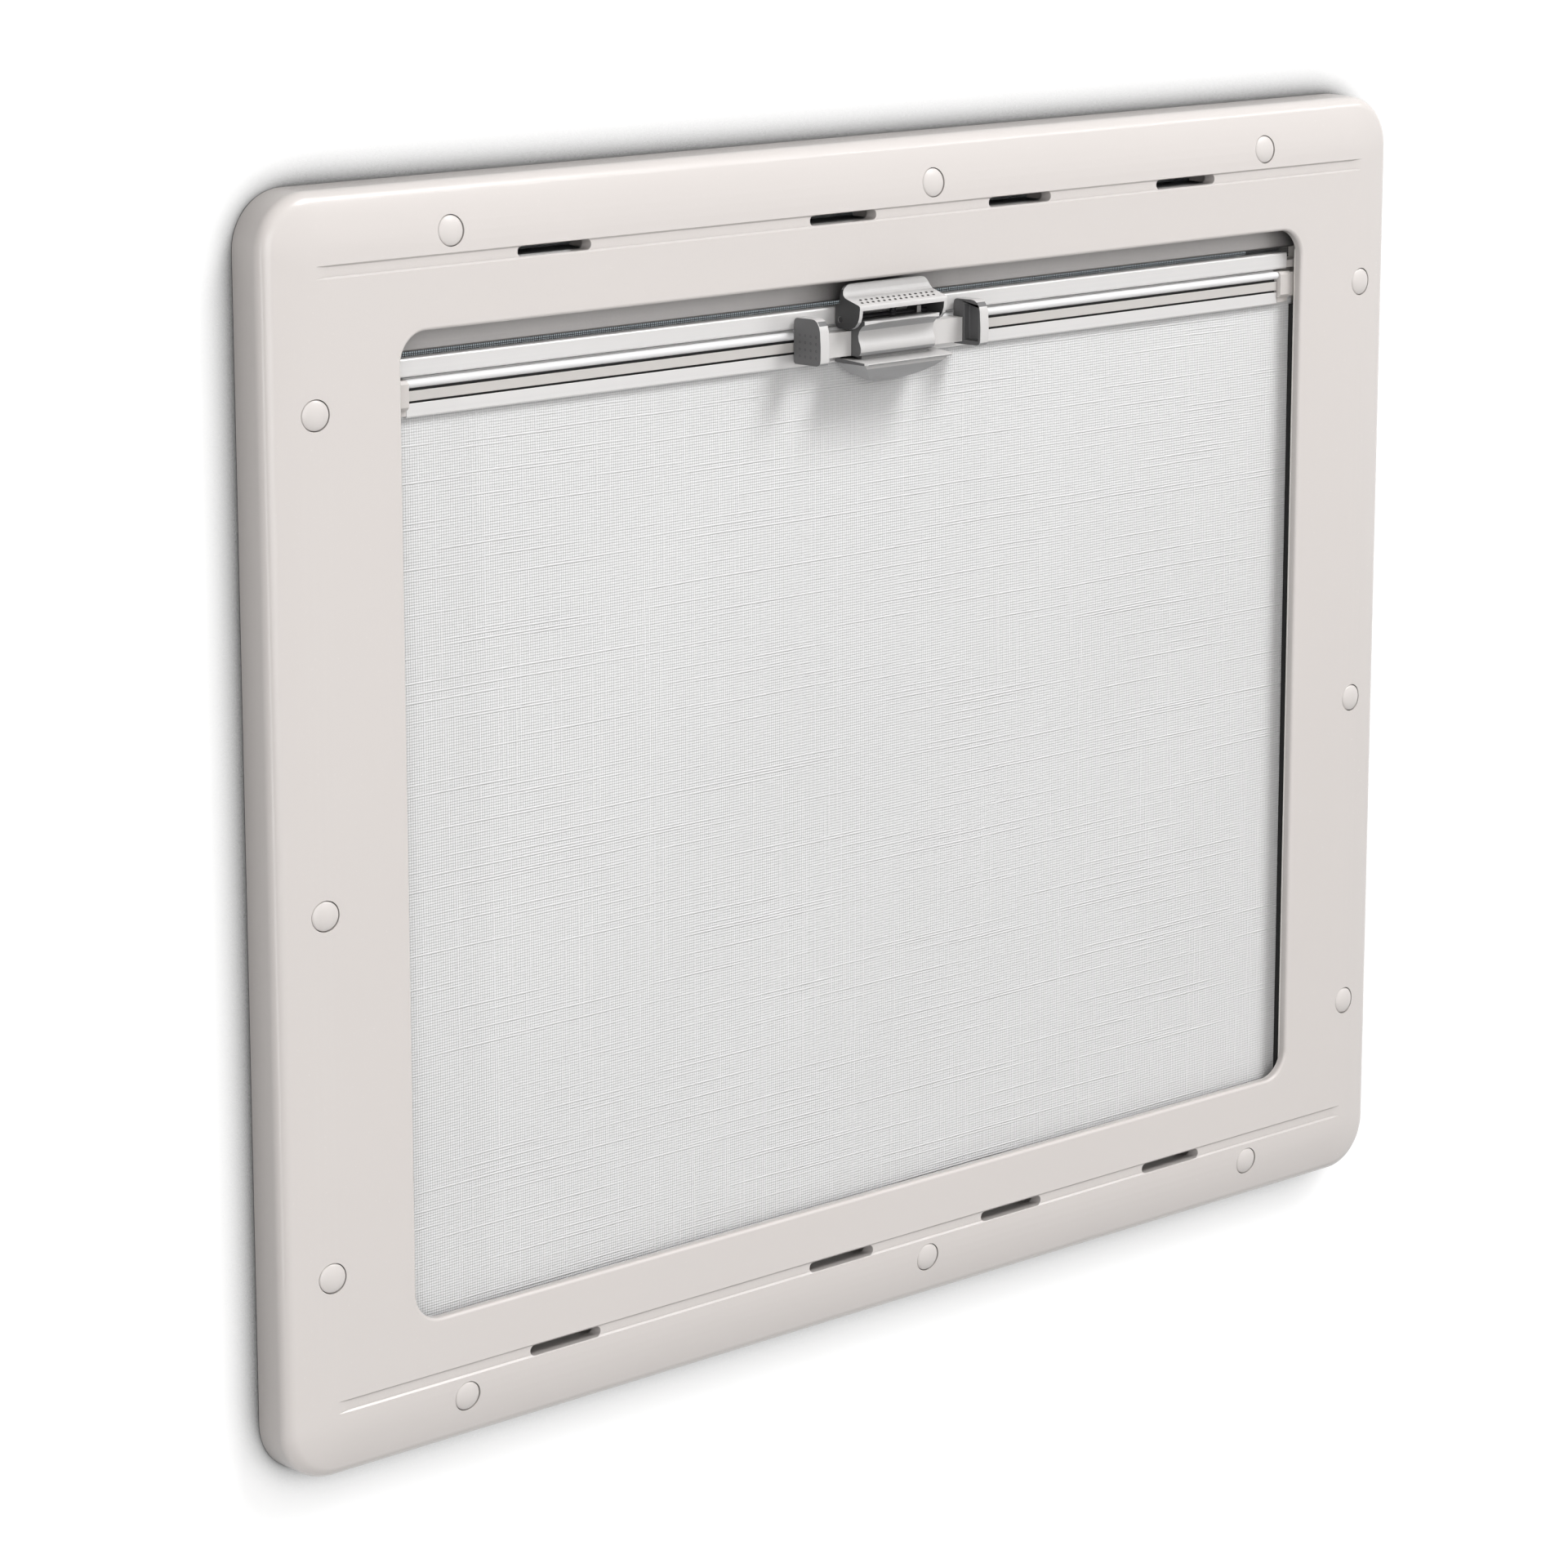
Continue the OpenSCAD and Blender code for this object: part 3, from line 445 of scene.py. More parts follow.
def materials():
    if MATERIALS:
        return MATERIALS
    scene = bpy.context.scene
    moulding, blind = scene.window_frame, scene.window_blind
    latch, outside = scene.window_latch, scene.window_outside
    MATERIALS.update({
        # the frame, the cassette and the latch carry painted shade near other surfaces, through shade_near
        "frame": shade_near(plastic("frame_polyurethane", moulding.frame_colour, 0.25, 900.0, 0.03, 0.06),
                            0.055, 0.95, 0.35),
        "cap": plastic("cap_polypropylene", moulding.cap_colour, 0.34, 1500.0, 0.02, 0.05),
        "rail": drawn_metal("anodised_rail", blind.rail_colour),
        "rail_band": plastic("rail_band_plastic", (0.56, 0.54, 0.52), 0.36, 1500.0, 0.02, 0.04),
        "rail_light": plastic("bead_insert", (0.78, 0.78, 0.785), 0.3, 1500.0, 0.02, 0.03),
        "cassette": shade_near(drawn_metal("cassette_aluminium", (0.68, 0.655, 0.645), 0.34, 0.2),
                               0.03, 0.95),
        # near-black groove colour is painted shade in the rail's grooves
        "groove": plastic("groove_painted_shade", (0.02, 0.02, 0.02), 0.6),
        "guide": plastic("guide_plastic", (0.72, 0.69, 0.66), 0.4),
        "rail_end": plastic("rail_end_plastic", (0.60, 0.57, 0.55), 0.38),
        "cloth": woven("blind_linen", blind.cloth_colour, blind.thread_pitch),
        "net": netting("flyscreen_net", (0.03, 0.03, 0.032)),
        "net_roll": plastic("wound_net", (0.035, 0.035, 0.037), 0.7, 2600.0, 0.2, 0.5),
        "latch": shade_near(plastic("latch_grey", latch.latch_colour, 0.36, 1800.0, 0.03, 0.06),
                            0.012, 1.1),
        # painted shade: darker greys for the latch's sides, the lever's cheeks and the latch's undersides
        "latch_side_shade": plastic("latch_side_painted_shade", (0.105, 0.105, 0.107), 0.45, 1800.0, 0.03, 0.1),
        "lever_cheek_shade": plastic("lever_cheek_painted_shade", (0.045, 0.045, 0.046), 0.45, 1800.0, 0.03, 0.1),
        "latch_under_shade": plastic("latch_bottom_painted_shade", (0.33, 0.33, 0.335), 0.42, 1800.0, 0.03, 0.06),
        "bracket": plastic("bracket_light_grey", (0.68, 0.665, 0.655), 0.36, 1800.0),
        "dot": plastic("dot_shadow", (0.05, 0.048, 0.045), 0.6),
        "black": plastic("black_fitting", (0.022, 0.022, 0.024), 0.45, 1600.0, 0.1, 0.15),
        "brush": plastic("brush_pile", (0.008, 0.008, 0.008), 0.95, 2600.0, 0.3, 0.9),
        "rubber": plastic("seal_rubber", (0.015, 0.015, 0.015), 0.65, 2200.0, 0.1, 0.3),
        "outer": plastic("outer_polyurethane", outside.outer_colour, 0.42, 900.0, 0.03, 0.1),
        "acrylic": acrylic("pane_acrylic", outside.pane_tint),
        "steel": drawn_metal("plated_steel", (0.62, 0.62, 0.63), 0.28, 1.0),
    })
    return MATERIALS


# Modelling helpers

def deselect():
    if bpy.context.mode != "OBJECT":
        bpy.ops.object.mode_set(mode="OBJECT")
    bpy.ops.object.select_all(action="DESELECT")


def make_active(obj):
    deselect()
    obj.select_set(True)
    bpy.context.view_layer.objects.active = obj


def apply_all(obj):
    make_active(obj)
    for modifier in list(obj.modifiers):
        bpy.ops.object.modifier_apply(modifier=modifier.name)


def merged_copy(node, name):
    """A copy of a CAD node with its loose triangles merged and its flat faces joined."""
    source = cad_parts[node]
    obj = bpy.data.objects.new(name, source.data.copy())
    bpy.context.scene.collection.objects.link(obj)
    make_active(obj)
    bpy.ops.object.mode_set(mode="EDIT")
    bpy.ops.mesh.select_all(action="SELECT")
    bpy.ops.mesh.remove_doubles(threshold=MERGE_DISTANCE)
    bpy.ops.mesh.dissolve_limited(angle_limit=math.radians(0.4), delimit={"NORMAL"})
    bpy.ops.object.mode_set(mode="OBJECT")
    return obj


def soften(obj, width, segments=2, angle=32.0):
    """Rounds the edges sharper than angle and shades the rest smooth."""
    if width > 0:
        bevel = obj.modifiers.new("edge", "BEVEL")
        bevel.width = width
        bevel.segments = segments
        bevel.limit_method = "ANGLE"
        bevel.angle_limit = math.radians(angle)
        bevel.use_clamp_overlap = True
        bevel.miter_outer = "MITER_ARC"
        bevel.harden_normals = False
    apply_all(obj)
    make_active(obj)
    bpy.ops.object.shade_smooth_by_angle(angle=math.radians(angle))
    weight = obj.modifiers.new("normals", "WEIGHTED_NORMAL")
    weight.keep_sharp = True
    weight.weight = 60
    apply_all(obj)
    return obj


def finish_piece(obj, material, body="root", replaces=()):
    """Gives a piece its material and its body, and hides the CAD nodes that it stands for."""
    obj.data.materials.clear()
    obj.data.materials.append(material)
    if replaces:
        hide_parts(*replaces)
    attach(obj, body)
    deselect()
    return obj


def refined(node, name, material, width=0.0003, segments=2, angle=32.0, body="root"):
    """A CAD node's copy with rounded edges, which replaces the node."""
    obj = merged_copy(node, name)
    soften(obj, width, segments, angle)
    return finish_piece(obj, material, body, (node,))


# Operators, one for each group of pieces

class WINDOW_OT_frame(bpy.types.Operator):
    """Room-side frame with its rounded opening, channels and slots"""
    bl_idname = "window.frame"
    bl_label = "Room-side frame"

    def execute(self, context):
        settings = context.scene.window_frame
        obj = merged_copy("inner_frame", "frame_moulding")
        # the front edge of the clear opening is rounded more than the rest
        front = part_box("inner_frame")[0].y
        guides_low, guides_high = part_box("side_guides")
        half = (guides_high.x - guides_low.x) / 2 - OPENING_SIDE
        bottom, top = OPENING_BAND
        make_active(obj)
        bpy.ops.object.mode_set(mode="EDIT")
        mesh = bmesh.from_edit_mesh(obj.data)
        for face in mesh.faces:
            face.select = False
        for edge in mesh.edges:
            edge.select = False
        mesh.select_flush(False)
        for edge in mesh.edges:
            inside = all(abs(v.co.y - front) < 1e-5 and abs(v.co.x) < half and bottom < v.co.z < top
                         for v in edge.verts)
            if inside and len(edge.link_faces) == 2 and edge.calc_face_angle(0) > 1.2:
                edge.select = True
        bmesh.update_edit_mesh(obj.data)
        bpy.context.tool_settings.mesh_select_mode = (False, True, False)
        bpy.ops.mesh.bevel(offset=settings.lip_radius, segments=5, profile=0.5, affect="EDGES",
                           clamp_overlap=True)
        bpy.ops.object.mode_set(mode="OBJECT")
        soften(obj, settings.edge_radius, 2, 34.0)
        finish_piece(obj, materials()["frame"], "root", ("inner_frame",))
        return {"FINISHED"}


class WINDOW_OT_caps(bpy.types.Operator):
    """Twelve domed caps over the frame's screws"""
    bl_idname = "window.caps"
    bl_label = "Screw caps"

    def execute(self, context):
        refined("screw_caps", "screw_cap_set", materials()["cap"], 0.0002, 2, 25.0)
        return {"FINISHED"}


class WINDOW_OT_cassettes(bpy.types.Operator):
    """Cassettes, rollers and their end plates"""
    bl_idname = "window.cassettes"
    bl_label = "Cassettes and rollers"

    def execute(self, context):
        m = materials()
        refined("top_cassette", "upper_cassette", m["cassette"], 0.0004)
        refined("bottom_cassette", "lower_cassette", m["cassette"], 0.0004)
        refined("roller_brackets", "roller_end_plates", m["black"], 0.0004)
        refined("flyscreen_roll", "flyscreen_roller", m["net_roll"], 0.0002)
        refined("blind_roll", "blind_roller", m["cloth"], 0.0002)
        return {"FINISHED"}


class WINDOW_OT_guides(bpy.types.Operator):
    """Side guides and their black pile seals"""
    bl_idname = "window.guides"
    bl_label = "Side guides"

    def execute(self, context):
        m = materials()
        refined("side_guides", "side_guide_pair", m["guide"], 0.0003)
        refined("guide_brushes", "pile_seals", m["brush"], 0.0003)
        return {"FINISHED"}


class WINDOW_OT_rails(bpy.types.Operator):
    """End rails of the blind and the flyscreen"""
    bl_idname = "window.rails"
    bl_label = "End rails"

    def execute(self, context):
        m = materials()
        refined("flyscreen_rail", "flyscreen_end_rail", m["rail"], 0.0004, 3)
        rail = refined("blind_rail", "blind_end_rail", m["rail"], 0.00015, 2)
        # the two grooves are coloured black inside as painted shade, and between them runs a band of plastic
        rail.data.materials.append(m["groove"])
        rail.data.materials.append(m["rail_band"])
        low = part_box("blind_rail")[0]
        for polygon in rail.data.polygons:
            deep, rise = polygon.center.y - low.y, polygon.center.z - low.z
            across = abs(polygon.normal.z) > 0.7 or polygon.normal.y < -0.7
            if GROOVE_DEPTH[0] < deep < GROOVE_DEPTH[1] and across:
                polygon.material_index = 1
            elif deep < GROOVE_DEPTH[0] and BAND_HEIGHT[0] < rise < BAND_HEIGHT[1]:
                polygon.material_index = 2
        refined("rail_bead", "rail_seal_bead", m["rail_light"], 0.0001, 2, 40.0)
        refined("rail_ends", "rail_end_pieces", m["rail_end"], 0.0009, 3)
        return {"FINISHED"}


class WINDOW_OT_cloth(bpy.types.Operator):
    """Drawn-up blind cloth and the short run of flyscreen"""
    bl_idname = "window.cloth"
    bl_label = "Cloth and net"

    def execute(self, context):
        m = materials()
        for node, name, material, slot, rest, thick, bulge in (
                ("blind_cloth", "blind_sheet", m["cloth"], "cloth",
                 ["blind_end_rail", "blind_roller"], 0.0006, CLOTH_WAVE),
                ("flyscreen_mesh", "flyscreen_sheet", m["net"], "mesh",
                 ["flyscreen_end_rail", "flyscreen_roller"], 0.0003, CLOTH_WAVE / 5)):
            low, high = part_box(node)
            width, length = high.x - low.x, high.z - low.z
            middle = (low + high) / 2
            deselect()
            bpy.ops.mesh.primitive_grid_add(
                x_subdivisions=40, y_subdivisions=max(4, int(40 * length / width)), size=1,
                location=middle, rotation=(math.pi / 2, 0, 0))
            obj = context.active_object
            obj.name = name
            obj.scale = (width, length, 1)
            bpy.ops.object.transform_apply(location=True, rotation=True, scale=True)
            # the cloth is tight, with slow shallow waves
            for vertex in obj.data.vertices:
                u = (vertex.co.x - low.x) / width
                v = (vertex.co.z - low.z) / length
                edge = 16 * u * (1 - u) * v * (1 - v)
                wave = math.sin(5.1 * u + 3.7 * v) + 0.6 * math.sin(14.0 * u - 8.0 * v)
                vertex.co.y += bulge * min(1, edge) * wave
            solid = obj.modifiers.new("thickness", "SOLIDIFY")
            solid.thickness = thick
            solid.offset = 0
            apply_all(obj)
            bpy.ops.object.shade_smooth_by_angle(angle=math.radians(40))
            finish_piece(obj, material, "root", (node,))
        return {"FINISHED"}


class WINDOW_OT_latch(bpy.types.Operator):
    """Latch with its thumb lever, finger ledge and grip ears"""
    bl_idname = "window.latch"
    bl_label = "Latch"

    def execute(self, context):
        m = materials()
        settings = context.scene.window_latch
        bracket = refined("latch_bracket", "latch_base_plate", m["bracket"], 0.0003)
        # behind the body and the lever the bracket is painted black, as painted shade
        bracket.data.materials.append(m["black"])
        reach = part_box("latch_body")[1].x
        for polygon in bracket.data.polygons:
            if all(abs(bracket.data.vertices[index].co.x) < reach for index in polygon.vertices):
                polygon.material_index = 1
        ears = refined("latch_ears", "latch_grip_ears", m["latch"], 0.0008, 3, 28.0)
        body = refined("latch_body", "latch_finger_piece", m["latch"], 0.0006, 3, 28.0)
        lever = refined("latch_lever", "latch_thumb_lever", m["latch"], 0.0006, 3, 28.0,
                        "latch_lever")
        refined("latch_pin", "latch_hinge_pin", m["black"], 0.0002)
        self.coil("latch_spring", "latch_coil_spring", m["black"])
        # all sides of the latch get painted shade, and those of the lever the darkest
        for obj, side in ((ears, "latch_side_shade"), (lever, "lever_cheek_shade"), (body, "latch_side_shade")):
            self.paint_side_shade(obj, m[side], m["latch_under_shade"])
        # the hollows of the ears get the dark side grey as painted shade
        low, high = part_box("latch_ears")
        for polygon in ears.data.polygons:
            x, y, z = polygon.center
            within = low.z + EAR_WALL < z < high.z - EAR_WALL and abs(x) < high.x - EAR_SIDE
            if within and y > low.y + EAR_FACE:
                polygon.material_index = 1
        # grip dots, sunk in the sloping ledge and in the ears' outer faces, coloured near black as painted
        # shadow
        lever_low, lever_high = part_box("latch_lever")
        count = settings.dot_columns
        step_x, step_y, step_z = LEDGE_STEP
        start_y, start_z = lever_low.y + LEDGE_START[0], lever_high.z - LEDGE_START[1]
        places = [((column - (count - 1) / 2) * step_x + (row - 0.5) * step_x / 2,
                   start_y + step_y * row, start_z + step_z * row)
                  for row in range(2) for column in range(count)]
        self.dots("grip_dots", places, [LEDGE_SLOPE] * len(places), settings.dot_radius, m["dot"],
                  "latch_lever")
        start_y, start_z = low.y + EAR_START[0], low.z + EAR_START[1]
        places, outward = [], []
        for side, x in ((-1, low.x + DOT_STAND), (1, high.x - DOT_STAND)):
            for row in range(EAR_ROWS):
                for column in range(EAR_ROWS):
                    places.append((x, start_y + EAR_STEP[0] * column, start_z + EAR_STEP[1] * row))
                    outward.append((side, 0, 0))
        self.dots("ear_dots", places, outward, settings.dot_radius * 0.9, m["black"], "root")
        return {"FINISHED"}

    def coil(self, node, name, material):
        """A wire spring, spun up from one small ring of points."""
        low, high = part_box(node)
        middle = (low + high) / 2
        wire, turns = SPRING_WIRE, SPRING_TURNS
        radius = (high.x - low.x) / 2 - wire
        deselect()
        bpy.ops.mesh.primitive_circle_add(
            vertices=8, radius=wire, location=(middle.x + radius, middle.y, low.z + wire),
            rotation=(math.pi / 2, 0, 0))
        obj = bpy.context.active_object
        obj.name = name
        bpy.ops.object.transform_apply(location=True, rotation=True, scale=True)
        screw = obj.modifiers.new("coil", "SCREW")
        screw.axis = "Z"
        screw.angle = math.tau * turns
        screw.screw_offset = high.z - low.z - 2 * wire
        screw.steps = screw.render_steps = 16 * turns
        screw.use_merge_vertices = False
        # the ring is spun around the object's origin, and then goes back to its place
        for vertex in obj.data.vertices:
            vertex.co.x -= middle.x
            vertex.co.y -= middle.y
        apply_all(obj)
        for vertex in obj.data.vertices:
            vertex.co.x += middle.x
            vertex.co.y += middle.y
        make_active(obj)
        bpy.ops.object.mode_set(mode="EDIT")
        bpy.ops.mesh.select_all(action="SELECT")
        bpy.ops.mesh.remove_doubles(threshold=MERGE_DISTANCE)
        bpy.ops.mesh.normals_make_consistent(inside=False)
        bpy.ops.mesh.select_all(action="DESELECT")
        bpy.ops.mesh.select_mode(type="EDGE")
        bpy.ops.mesh.select_non_manifold()
        bpy.ops.mesh.fill_holes(sides=0)
        bpy.ops.object.mode_set(mode="OBJECT")
        bpy.ops.object.shade_smooth_by_angle(angle=math.radians(50))
        finish_piece(obj, material, "root", (node,))

    def paint_side_shade(self, obj, side, under):
        """Gives the faces that look sideways and down their own darker greys, as painted shade."""
        obj.data.materials.append(side)
        obj.data.materials.append(under)
        for polygon in obj.data.polygons:
            if abs(polygon.normal.x) > 0.8:
                polygon.material_index = 1
            elif polygon.normal.z < -0.45 and polygon.normal.y < 0.2:
                polygon.material_index = 2

    def dots(self, name, places, normals, radius, material, body):
        """Small sunk grip dots: one is modelled, the others are copies with their own mesh."""
        deselect()
        bpy.ops.mesh.primitive_circle_add(vertices=16, radius=radius, fill_type="NGON", location=(0, 0, 0))
        first = bpy.context.active_object
        first.name = name
        bpy.ops.object.mode_set(mode="EDIT")
        bpy.ops.mesh.select_all(action="SELECT")
        bpy.ops.mesh.extrude_region_move(TRANSFORM_OT_translate={"value": (0, 0, DOT_RIM)})
        bpy.ops.mesh.inset(thickness=radius * 0.25, depth=0)
        bpy.ops.mesh.inset(thickness=radius * 0.3, depth=-DOT_PIT)
        bpy.ops.mesh.select_all(action="SELECT")
        bpy.ops.mesh.normals_make_consistent(inside=False)
        bpy.ops.object.mode_set(mode="OBJECT")
        pit = first.data.copy()
        pieces = []
        for place, normal in zip(places, normals):
            piece = first
            if pieces:
                piece = first.copy()
                piece.data = pit.copy()
                bpy.context.scene.collection.objects.link(piece)
            turn = Vector(normal).to_track_quat("Z", "Y")
            for vertex in piece.data.vertices:
                vertex.co = turn @ vertex.co + Vector(place)
            pieces.append(piece)
        deselect()
        for piece in pieces:
            piece.select_set(True)
        bpy.context.view_layer.objects.active = first
        bpy.ops.object.join()
        bpy.ops.object.shade_smooth_by_angle(angle=math.radians(40))
        finish_piece(first, material, body, ())


class WINDOW_OT_outside(bpy.types.Operator):
    """Outside frame, seals, double pane and hinge"""
    bl_idname = "window.outside"
    bl_label = "Outside half"

    def execute(self, context):
        m = materials()
        refined("outer_frame", "outer_moulding", m["outer"], 0.0005)
        refined("wall_seal", "wall_foam_seal", m["rubber"], 0.0003)
        refined("pane_seal", "pane_rubber_seal", m["rubber"], 0.0008, 3)
        refined("inner_pane", "inner_sheet", m["acrylic"], 0.0003)
        refined("outer_pane", "outer_sheet", m["acrylic"], 0.0004)
        refined("pane_spacer", "pane_rim", m["black"], 0.0003)
        refined("hinge_rail", "hinge_profile", m["rail"], 0.0004)
        refined("pane_rail", "pane_hook_profile", m["rail"], 0.0003)
        refined("hinge_ends", "hinge_end_caps", m["black"], 0.0005)
        return {"FINISHED"}


class WINDOW_OT_stays(bpy.types.Operator):
    """Stays and catches between outside frame and pane"""
    bl_idname = "window.stays"
    bl_label = "Stays and catches"

    def execute(self, context):
        m = materials()
        refined("stay_tubes", "stay_tube_pair", m["rail"], 0.0003)
        refined("stay_rods", "stay_rod_pair", m["steel"], 0.0003)
        refined("stay_knobs", "stay_knob_pair", m["black"], 0.0008, 3)
        refined("stay_frame_brackets", "stay_upper_brackets", m["black"], 0.0006, 3)
        refined("stay_pane_brackets", "stay_lower_brackets", m["black"], 0.0006, 3)
        refined("catch_bases", "catch_base_pair", m["black"], 0.0008, 3)
        refined("catch_levers", "catch_lever_pair", m["black"], 0.0008, 3)
        refined("catch_keepers", "catch_keeper_pair", m["steel"], 0.0003)
        return {"FINISHED"}


class WINDOW_OT_stage(bpy.types.Operator):
    """Floor, wall, light and camera"""
    bl_idname = "window.stage"
    bl_label = "Stage"

    def execute(self, context):
        context.scene.view_settings.view_transform = "Standard"
        low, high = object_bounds()
        # pale floor
        deselect()
        bpy.ops.mesh.primitive_plane_add(size=12, location=(0, 0, low.z - FLOOR_DROP))
        floor = context.active_object
        floor.name = "pale_floor"
        # wall with a hole that the room-side frame just covers
        place = (0, WALL_FACE, WINDOW_MIDDLE)
        bpy.ops.mesh.primitive_plane_add(size=1, location=place, rotation=(math.pi / 2, 0, 0))
        wall = context.active_object
        wall.name = "white_wall"
        wall.scale = (high.x - low.x - WALL_LAP, high.z - low.z - WALL_LAP, 1)
        bpy.ops.object.transform_apply(location=True, rotation=True, scale=True)
        bpy.ops.object.mode_set(mode="EDIT")
        bpy.ops.mesh.select_all(action="SELECT")
        bpy.ops.mesh.bevel(offset=WALL_CORNER, segments=8, affect="VERTICES")
        bpy.ops.mesh.select_all(action="SELECT")
        bpy.ops.mesh.extrude_edges_move()
        bpy.ops.transform.resize(value=WALL_SPREAD, center_override=place)
        bpy.ops.mesh.select_all(action="DESELECT")
        mesh = bmesh.from_edit_mesh(wall.data)
        for face in mesh.faces:
            if (face.calc_center_median() - Vector(place)).length < 0.01:
                face.select = True
        bmesh.update_edit_mesh(wall.data)
        bpy.context.tool_settings.mesh_select_mode = (False, False, True)
        bpy.ops.mesh.delete(type="ONLY_FACE")
        bpy.ops.mesh.select_all(action="SELECT")
        bpy.ops.mesh.normals_make_consistent(inside=False)
        bpy.ops.object.mode_set(mode="OBJECT")
        facing = sum(p.normal.y * p.area for p in wall.data.polygons)
        if facing > 0:
            bpy.ops.object.mode_set(mode="EDIT")
            bpy.ops.mesh.select_all(action="SELECT")
            bpy.ops.mesh.flip_normals()
            bpy.ops.object.mode_set(mode="OBJECT")
        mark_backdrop(floor, wall)
        floor.data.materials.append(self.backdrop("floor_paint", False))
        wall.data.materials.append(self.backdrop("wall_paint", True))
        self.lights(context)
        self.camera(context)
        return {"FINISHED"}

    def shown_to_view(self, tree):
        """1 for what the camera sees, also mirrored or through glass, else 0."""
        path = tree.nodes.new("ShaderNodeLightPath")
        shown = math_node(tree, "MAXIMUM", path.outputs["Is Camera Ray"], path.outputs["Is Glossy Ray"])
        return math_node(tree, "MAXIMUM", shown, path.outputs["Is Transmission Ray"])

    def backdrop(self, name, one_sided):
        """White paint with a painted soft contact shadow around the frame."""
        material = bpy.data.materials.new(name)
        material.use_nodes = True
        tree = material.node_tree
        shader = tree.nodes["Principled BSDF"]
        shader.inputs["Roughness"].default_value = 0.9
        shader.inputs["Specular IOR Level"].default_value = 0.0
        output = tree.nodes["Material Output"]
        glow = tree.nodes.new("ShaderNodeEmission")
        # painted contact shadow: the glow and the colour fade close to the frame
        near = tree.nodes.new("ShaderNodeAmbientOcclusion")
        near.samples = 8
        near.inputs["Distance"].default_value = 0.032
        shut = math_node(tree, "MULTIPLY", math_node(tree, "SUBTRACT", 1.0, near.outputs["AO"]), 2.0, True)
        clear_part = math_node(tree, "SUBTRACT", 1.0, math_node(tree, "POWER", shut, 1.7))
        camera_part = math_node(tree, "MULTIPLY", self.shown_to_view(tree), clear_part)
        tree.links.new(math_node(tree, "MULTIPLY", camera_part, 0.72), glow.inputs["Strength"])
        albedo = math_node(tree, "ADD", 0.1, math_node(tree, "MULTIPLY", clear_part, 0.3))
        grey = tree.nodes.new("ShaderNodeCombineColor")
        for k in range(3):
            tree.links.new(albedo, grey.inputs[k])
        tree.links.new(grey.outputs[0], shader.inputs["Base Color"])
        add = tree.nodes.new("ShaderNodeAddShader")
        tree.links.new(shader.outputs[0], add.inputs[0])
        tree.links.new(glow.outputs[0], add.inputs[1])
        last = add.outputs[0]
        if one_sided:
            # from behind, the wall is clear
            clear = tree.nodes.new("ShaderNodeBsdfTransparent")
            side = tree.nodes.new("ShaderNodeNewGeometry")
            mix = tree.nodes.new("ShaderNodeMixShader")
            tree.links.new(side.outputs["Backfacing"], mix.inputs[0])
            tree.links.new(last, mix.inputs[1])
            tree.links.new(clear.outputs[0], mix.inputs[2])
            last = mix.outputs[0]
        tree.links.new(last, output.inputs["Surface"])
        return material

    def lights(self, context):
        """Soft sky and five lamps."""
        world = bpy.data.worlds.new("studio")
        context.scene.world = world
        world.use_nodes = True
        tree = world.node_tree
        background = tree.nodes["Background"]
        shown = self.shown_to_view(tree)
        # warm ambient light that fades towards the floor; what the camera sees is plain white
        sky = tree.nodes.new("ShaderNodeSeparateXYZ")
        tree.links.new(tree.nodes.new("ShaderNodeTexCoord").outputs["Generated"], sky.inputs[0])
        height = math_node(tree, "ADD", math_node(tree, "MULTIPLY", sky.outputs["Z"], 0.9), 0.5, True)
        soft = math_node(tree, "ADD", math_node(tree, "MULTIPLY", height, 0.30), 0.14)
        strength = math_node(tree, "MAXIMUM", shown, soft)
        tint = tree.nodes.new("ShaderNodeMix")
        tint.data_type = "RGBA"
        tint.inputs["A"].default_value = (1.0, 0.97, 0.945, 1)
        tint.inputs["B"].default_value = (1, 1, 1, 1)
        tree.links.new(shown, tint.inputs["Factor"])
        tree.links.new(tint.outputs["Result"], background.inputs["Color"])
        tree.links.new(strength, background.inputs["Strength"])
        for name, place, target, size, power in LAMPS:
            deselect()
            bpy.ops.object.light_add(type="AREA", location=place)
            lamp = context.active_object
            lamp.name = name + "_light"
            lamp.data.shape = "RECTANGLE"
            lamp.data.size, lamp.data.size_y = size
            lamp.data.energy = power
            lamp.rotation_euler = (Vector(target) - Vector(place)).to_track_quat("-Z", "Y").to_euler()

    def camera(self, context):
        """Camera at the photograph's place."""
        yaw, pitch, roll = CAMERA_TURN
        forward = Vector((math.sin(yaw) * math.cos(pitch), math.cos(yaw) * math.cos(pitch), -math.sin(pitch)))
        level = Vector((math.cos(yaw), -math.sin(yaw), 0))
        upright = level.cross(forward)
        right = math.cos(roll) * level + math.sin(roll) * upright
        up = -math.sin(roll) * level + math.cos(roll) * upright
        deselect()
        bpy.ops.object.camera_add(location=CAMERA_PLACE)
        camera = context.active_object
        camera.name = "photo_camera"
        camera.rotation_euler = Matrix((right, up, -forward)).transposed().to_euler()
        camera.data.lens = CAMERA_LENS
        camera.data.sensor_width = 36
        camera.data.shift_y = CAMERA_SHIFT
        camera.data.clip_start = 0.05
        camera.data.clip_end = 50
        context.scene.camera = camera


class WINDOW_PT_panel(bpy.types.Panel):
    """Lists the steps that build the window"""
    bl_label = "Caravan window"
    bl_idname = "WINDOW_PT_panel"
    bl_space_type = "VIEW_3D"
    bl_region_type = "UI"
    bl_category = "Window"

    def draw(self, context):
        layout = self.layout
        for operator in OPERATORS:
            layout.operator(operator.bl_idname)
        for group, kind in SETTINGS:
            settings = getattr(context.scene, group)
            for name in kind.__annotations__:
                layout.prop(settings, name)


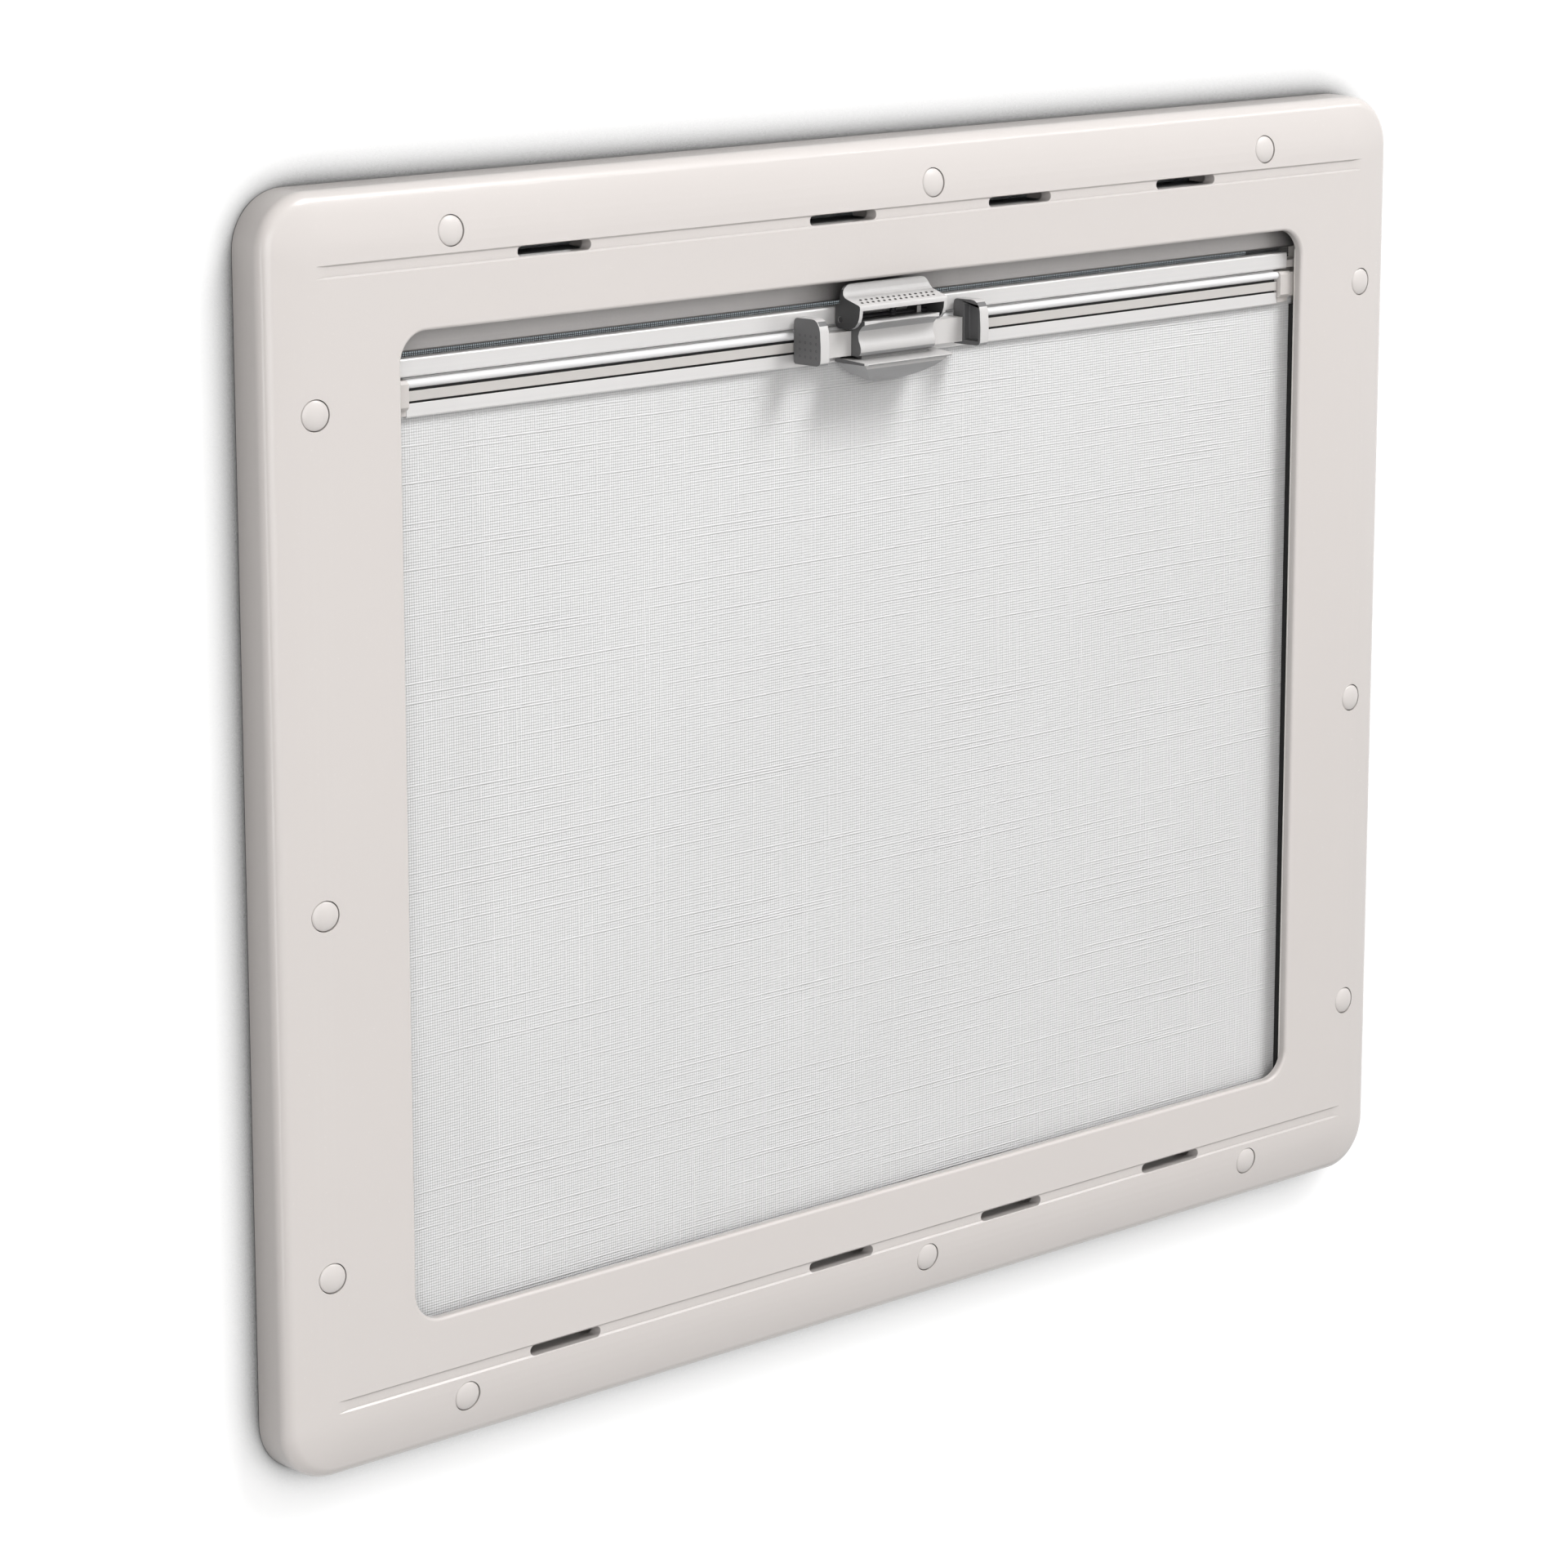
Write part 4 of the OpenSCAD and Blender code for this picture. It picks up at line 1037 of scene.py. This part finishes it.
OPERATORS = (WINDOW_OT_frame, WINDOW_OT_caps, WINDOW_OT_cassettes, WINDOW_OT_guides, WINDOW_OT_rails,
             WINDOW_OT_cloth, WINDOW_OT_latch, WINDOW_OT_outside, WINDOW_OT_stays, WINDOW_OT_stage)
SETTINGS = (("window_frame", FrameSettings), ("window_blind", BlindSettings),
            ("window_latch", LatchSettings), ("window_outside", OutsideSettings))


def register():
    for name, group in SETTINGS:
        bpy.utils.register_class(group)
        setattr(bpy.types.Scene, name, bpy.props.PointerProperty(type=group))
    for operator in OPERATORS:
        bpy.utils.register_class(operator)
    bpy.utils.register_class(WINDOW_PT_panel)


def unregister():
    bpy.utils.unregister_class(WINDOW_PT_panel)
    for operator in reversed(OPERATORS):
        bpy.utils.unregister_class(operator)
    for name, group in reversed(SETTINGS):
        delattr(bpy.types.Scene, name)
        bpy.utils.unregister_class(group)


def main():
    register()
    bpy.ops.window.frame()
    bpy.ops.window.caps()
    bpy.ops.window.cassettes()
    bpy.ops.window.guides()
    bpy.ops.window.rails()
    bpy.ops.window.cloth()
    bpy.ops.window.latch()
    bpy.ops.window.outside()
    bpy.ops.window.stays()
    bpy.ops.window.stage()
    materials()


if __name__ == "__main__":
    main()
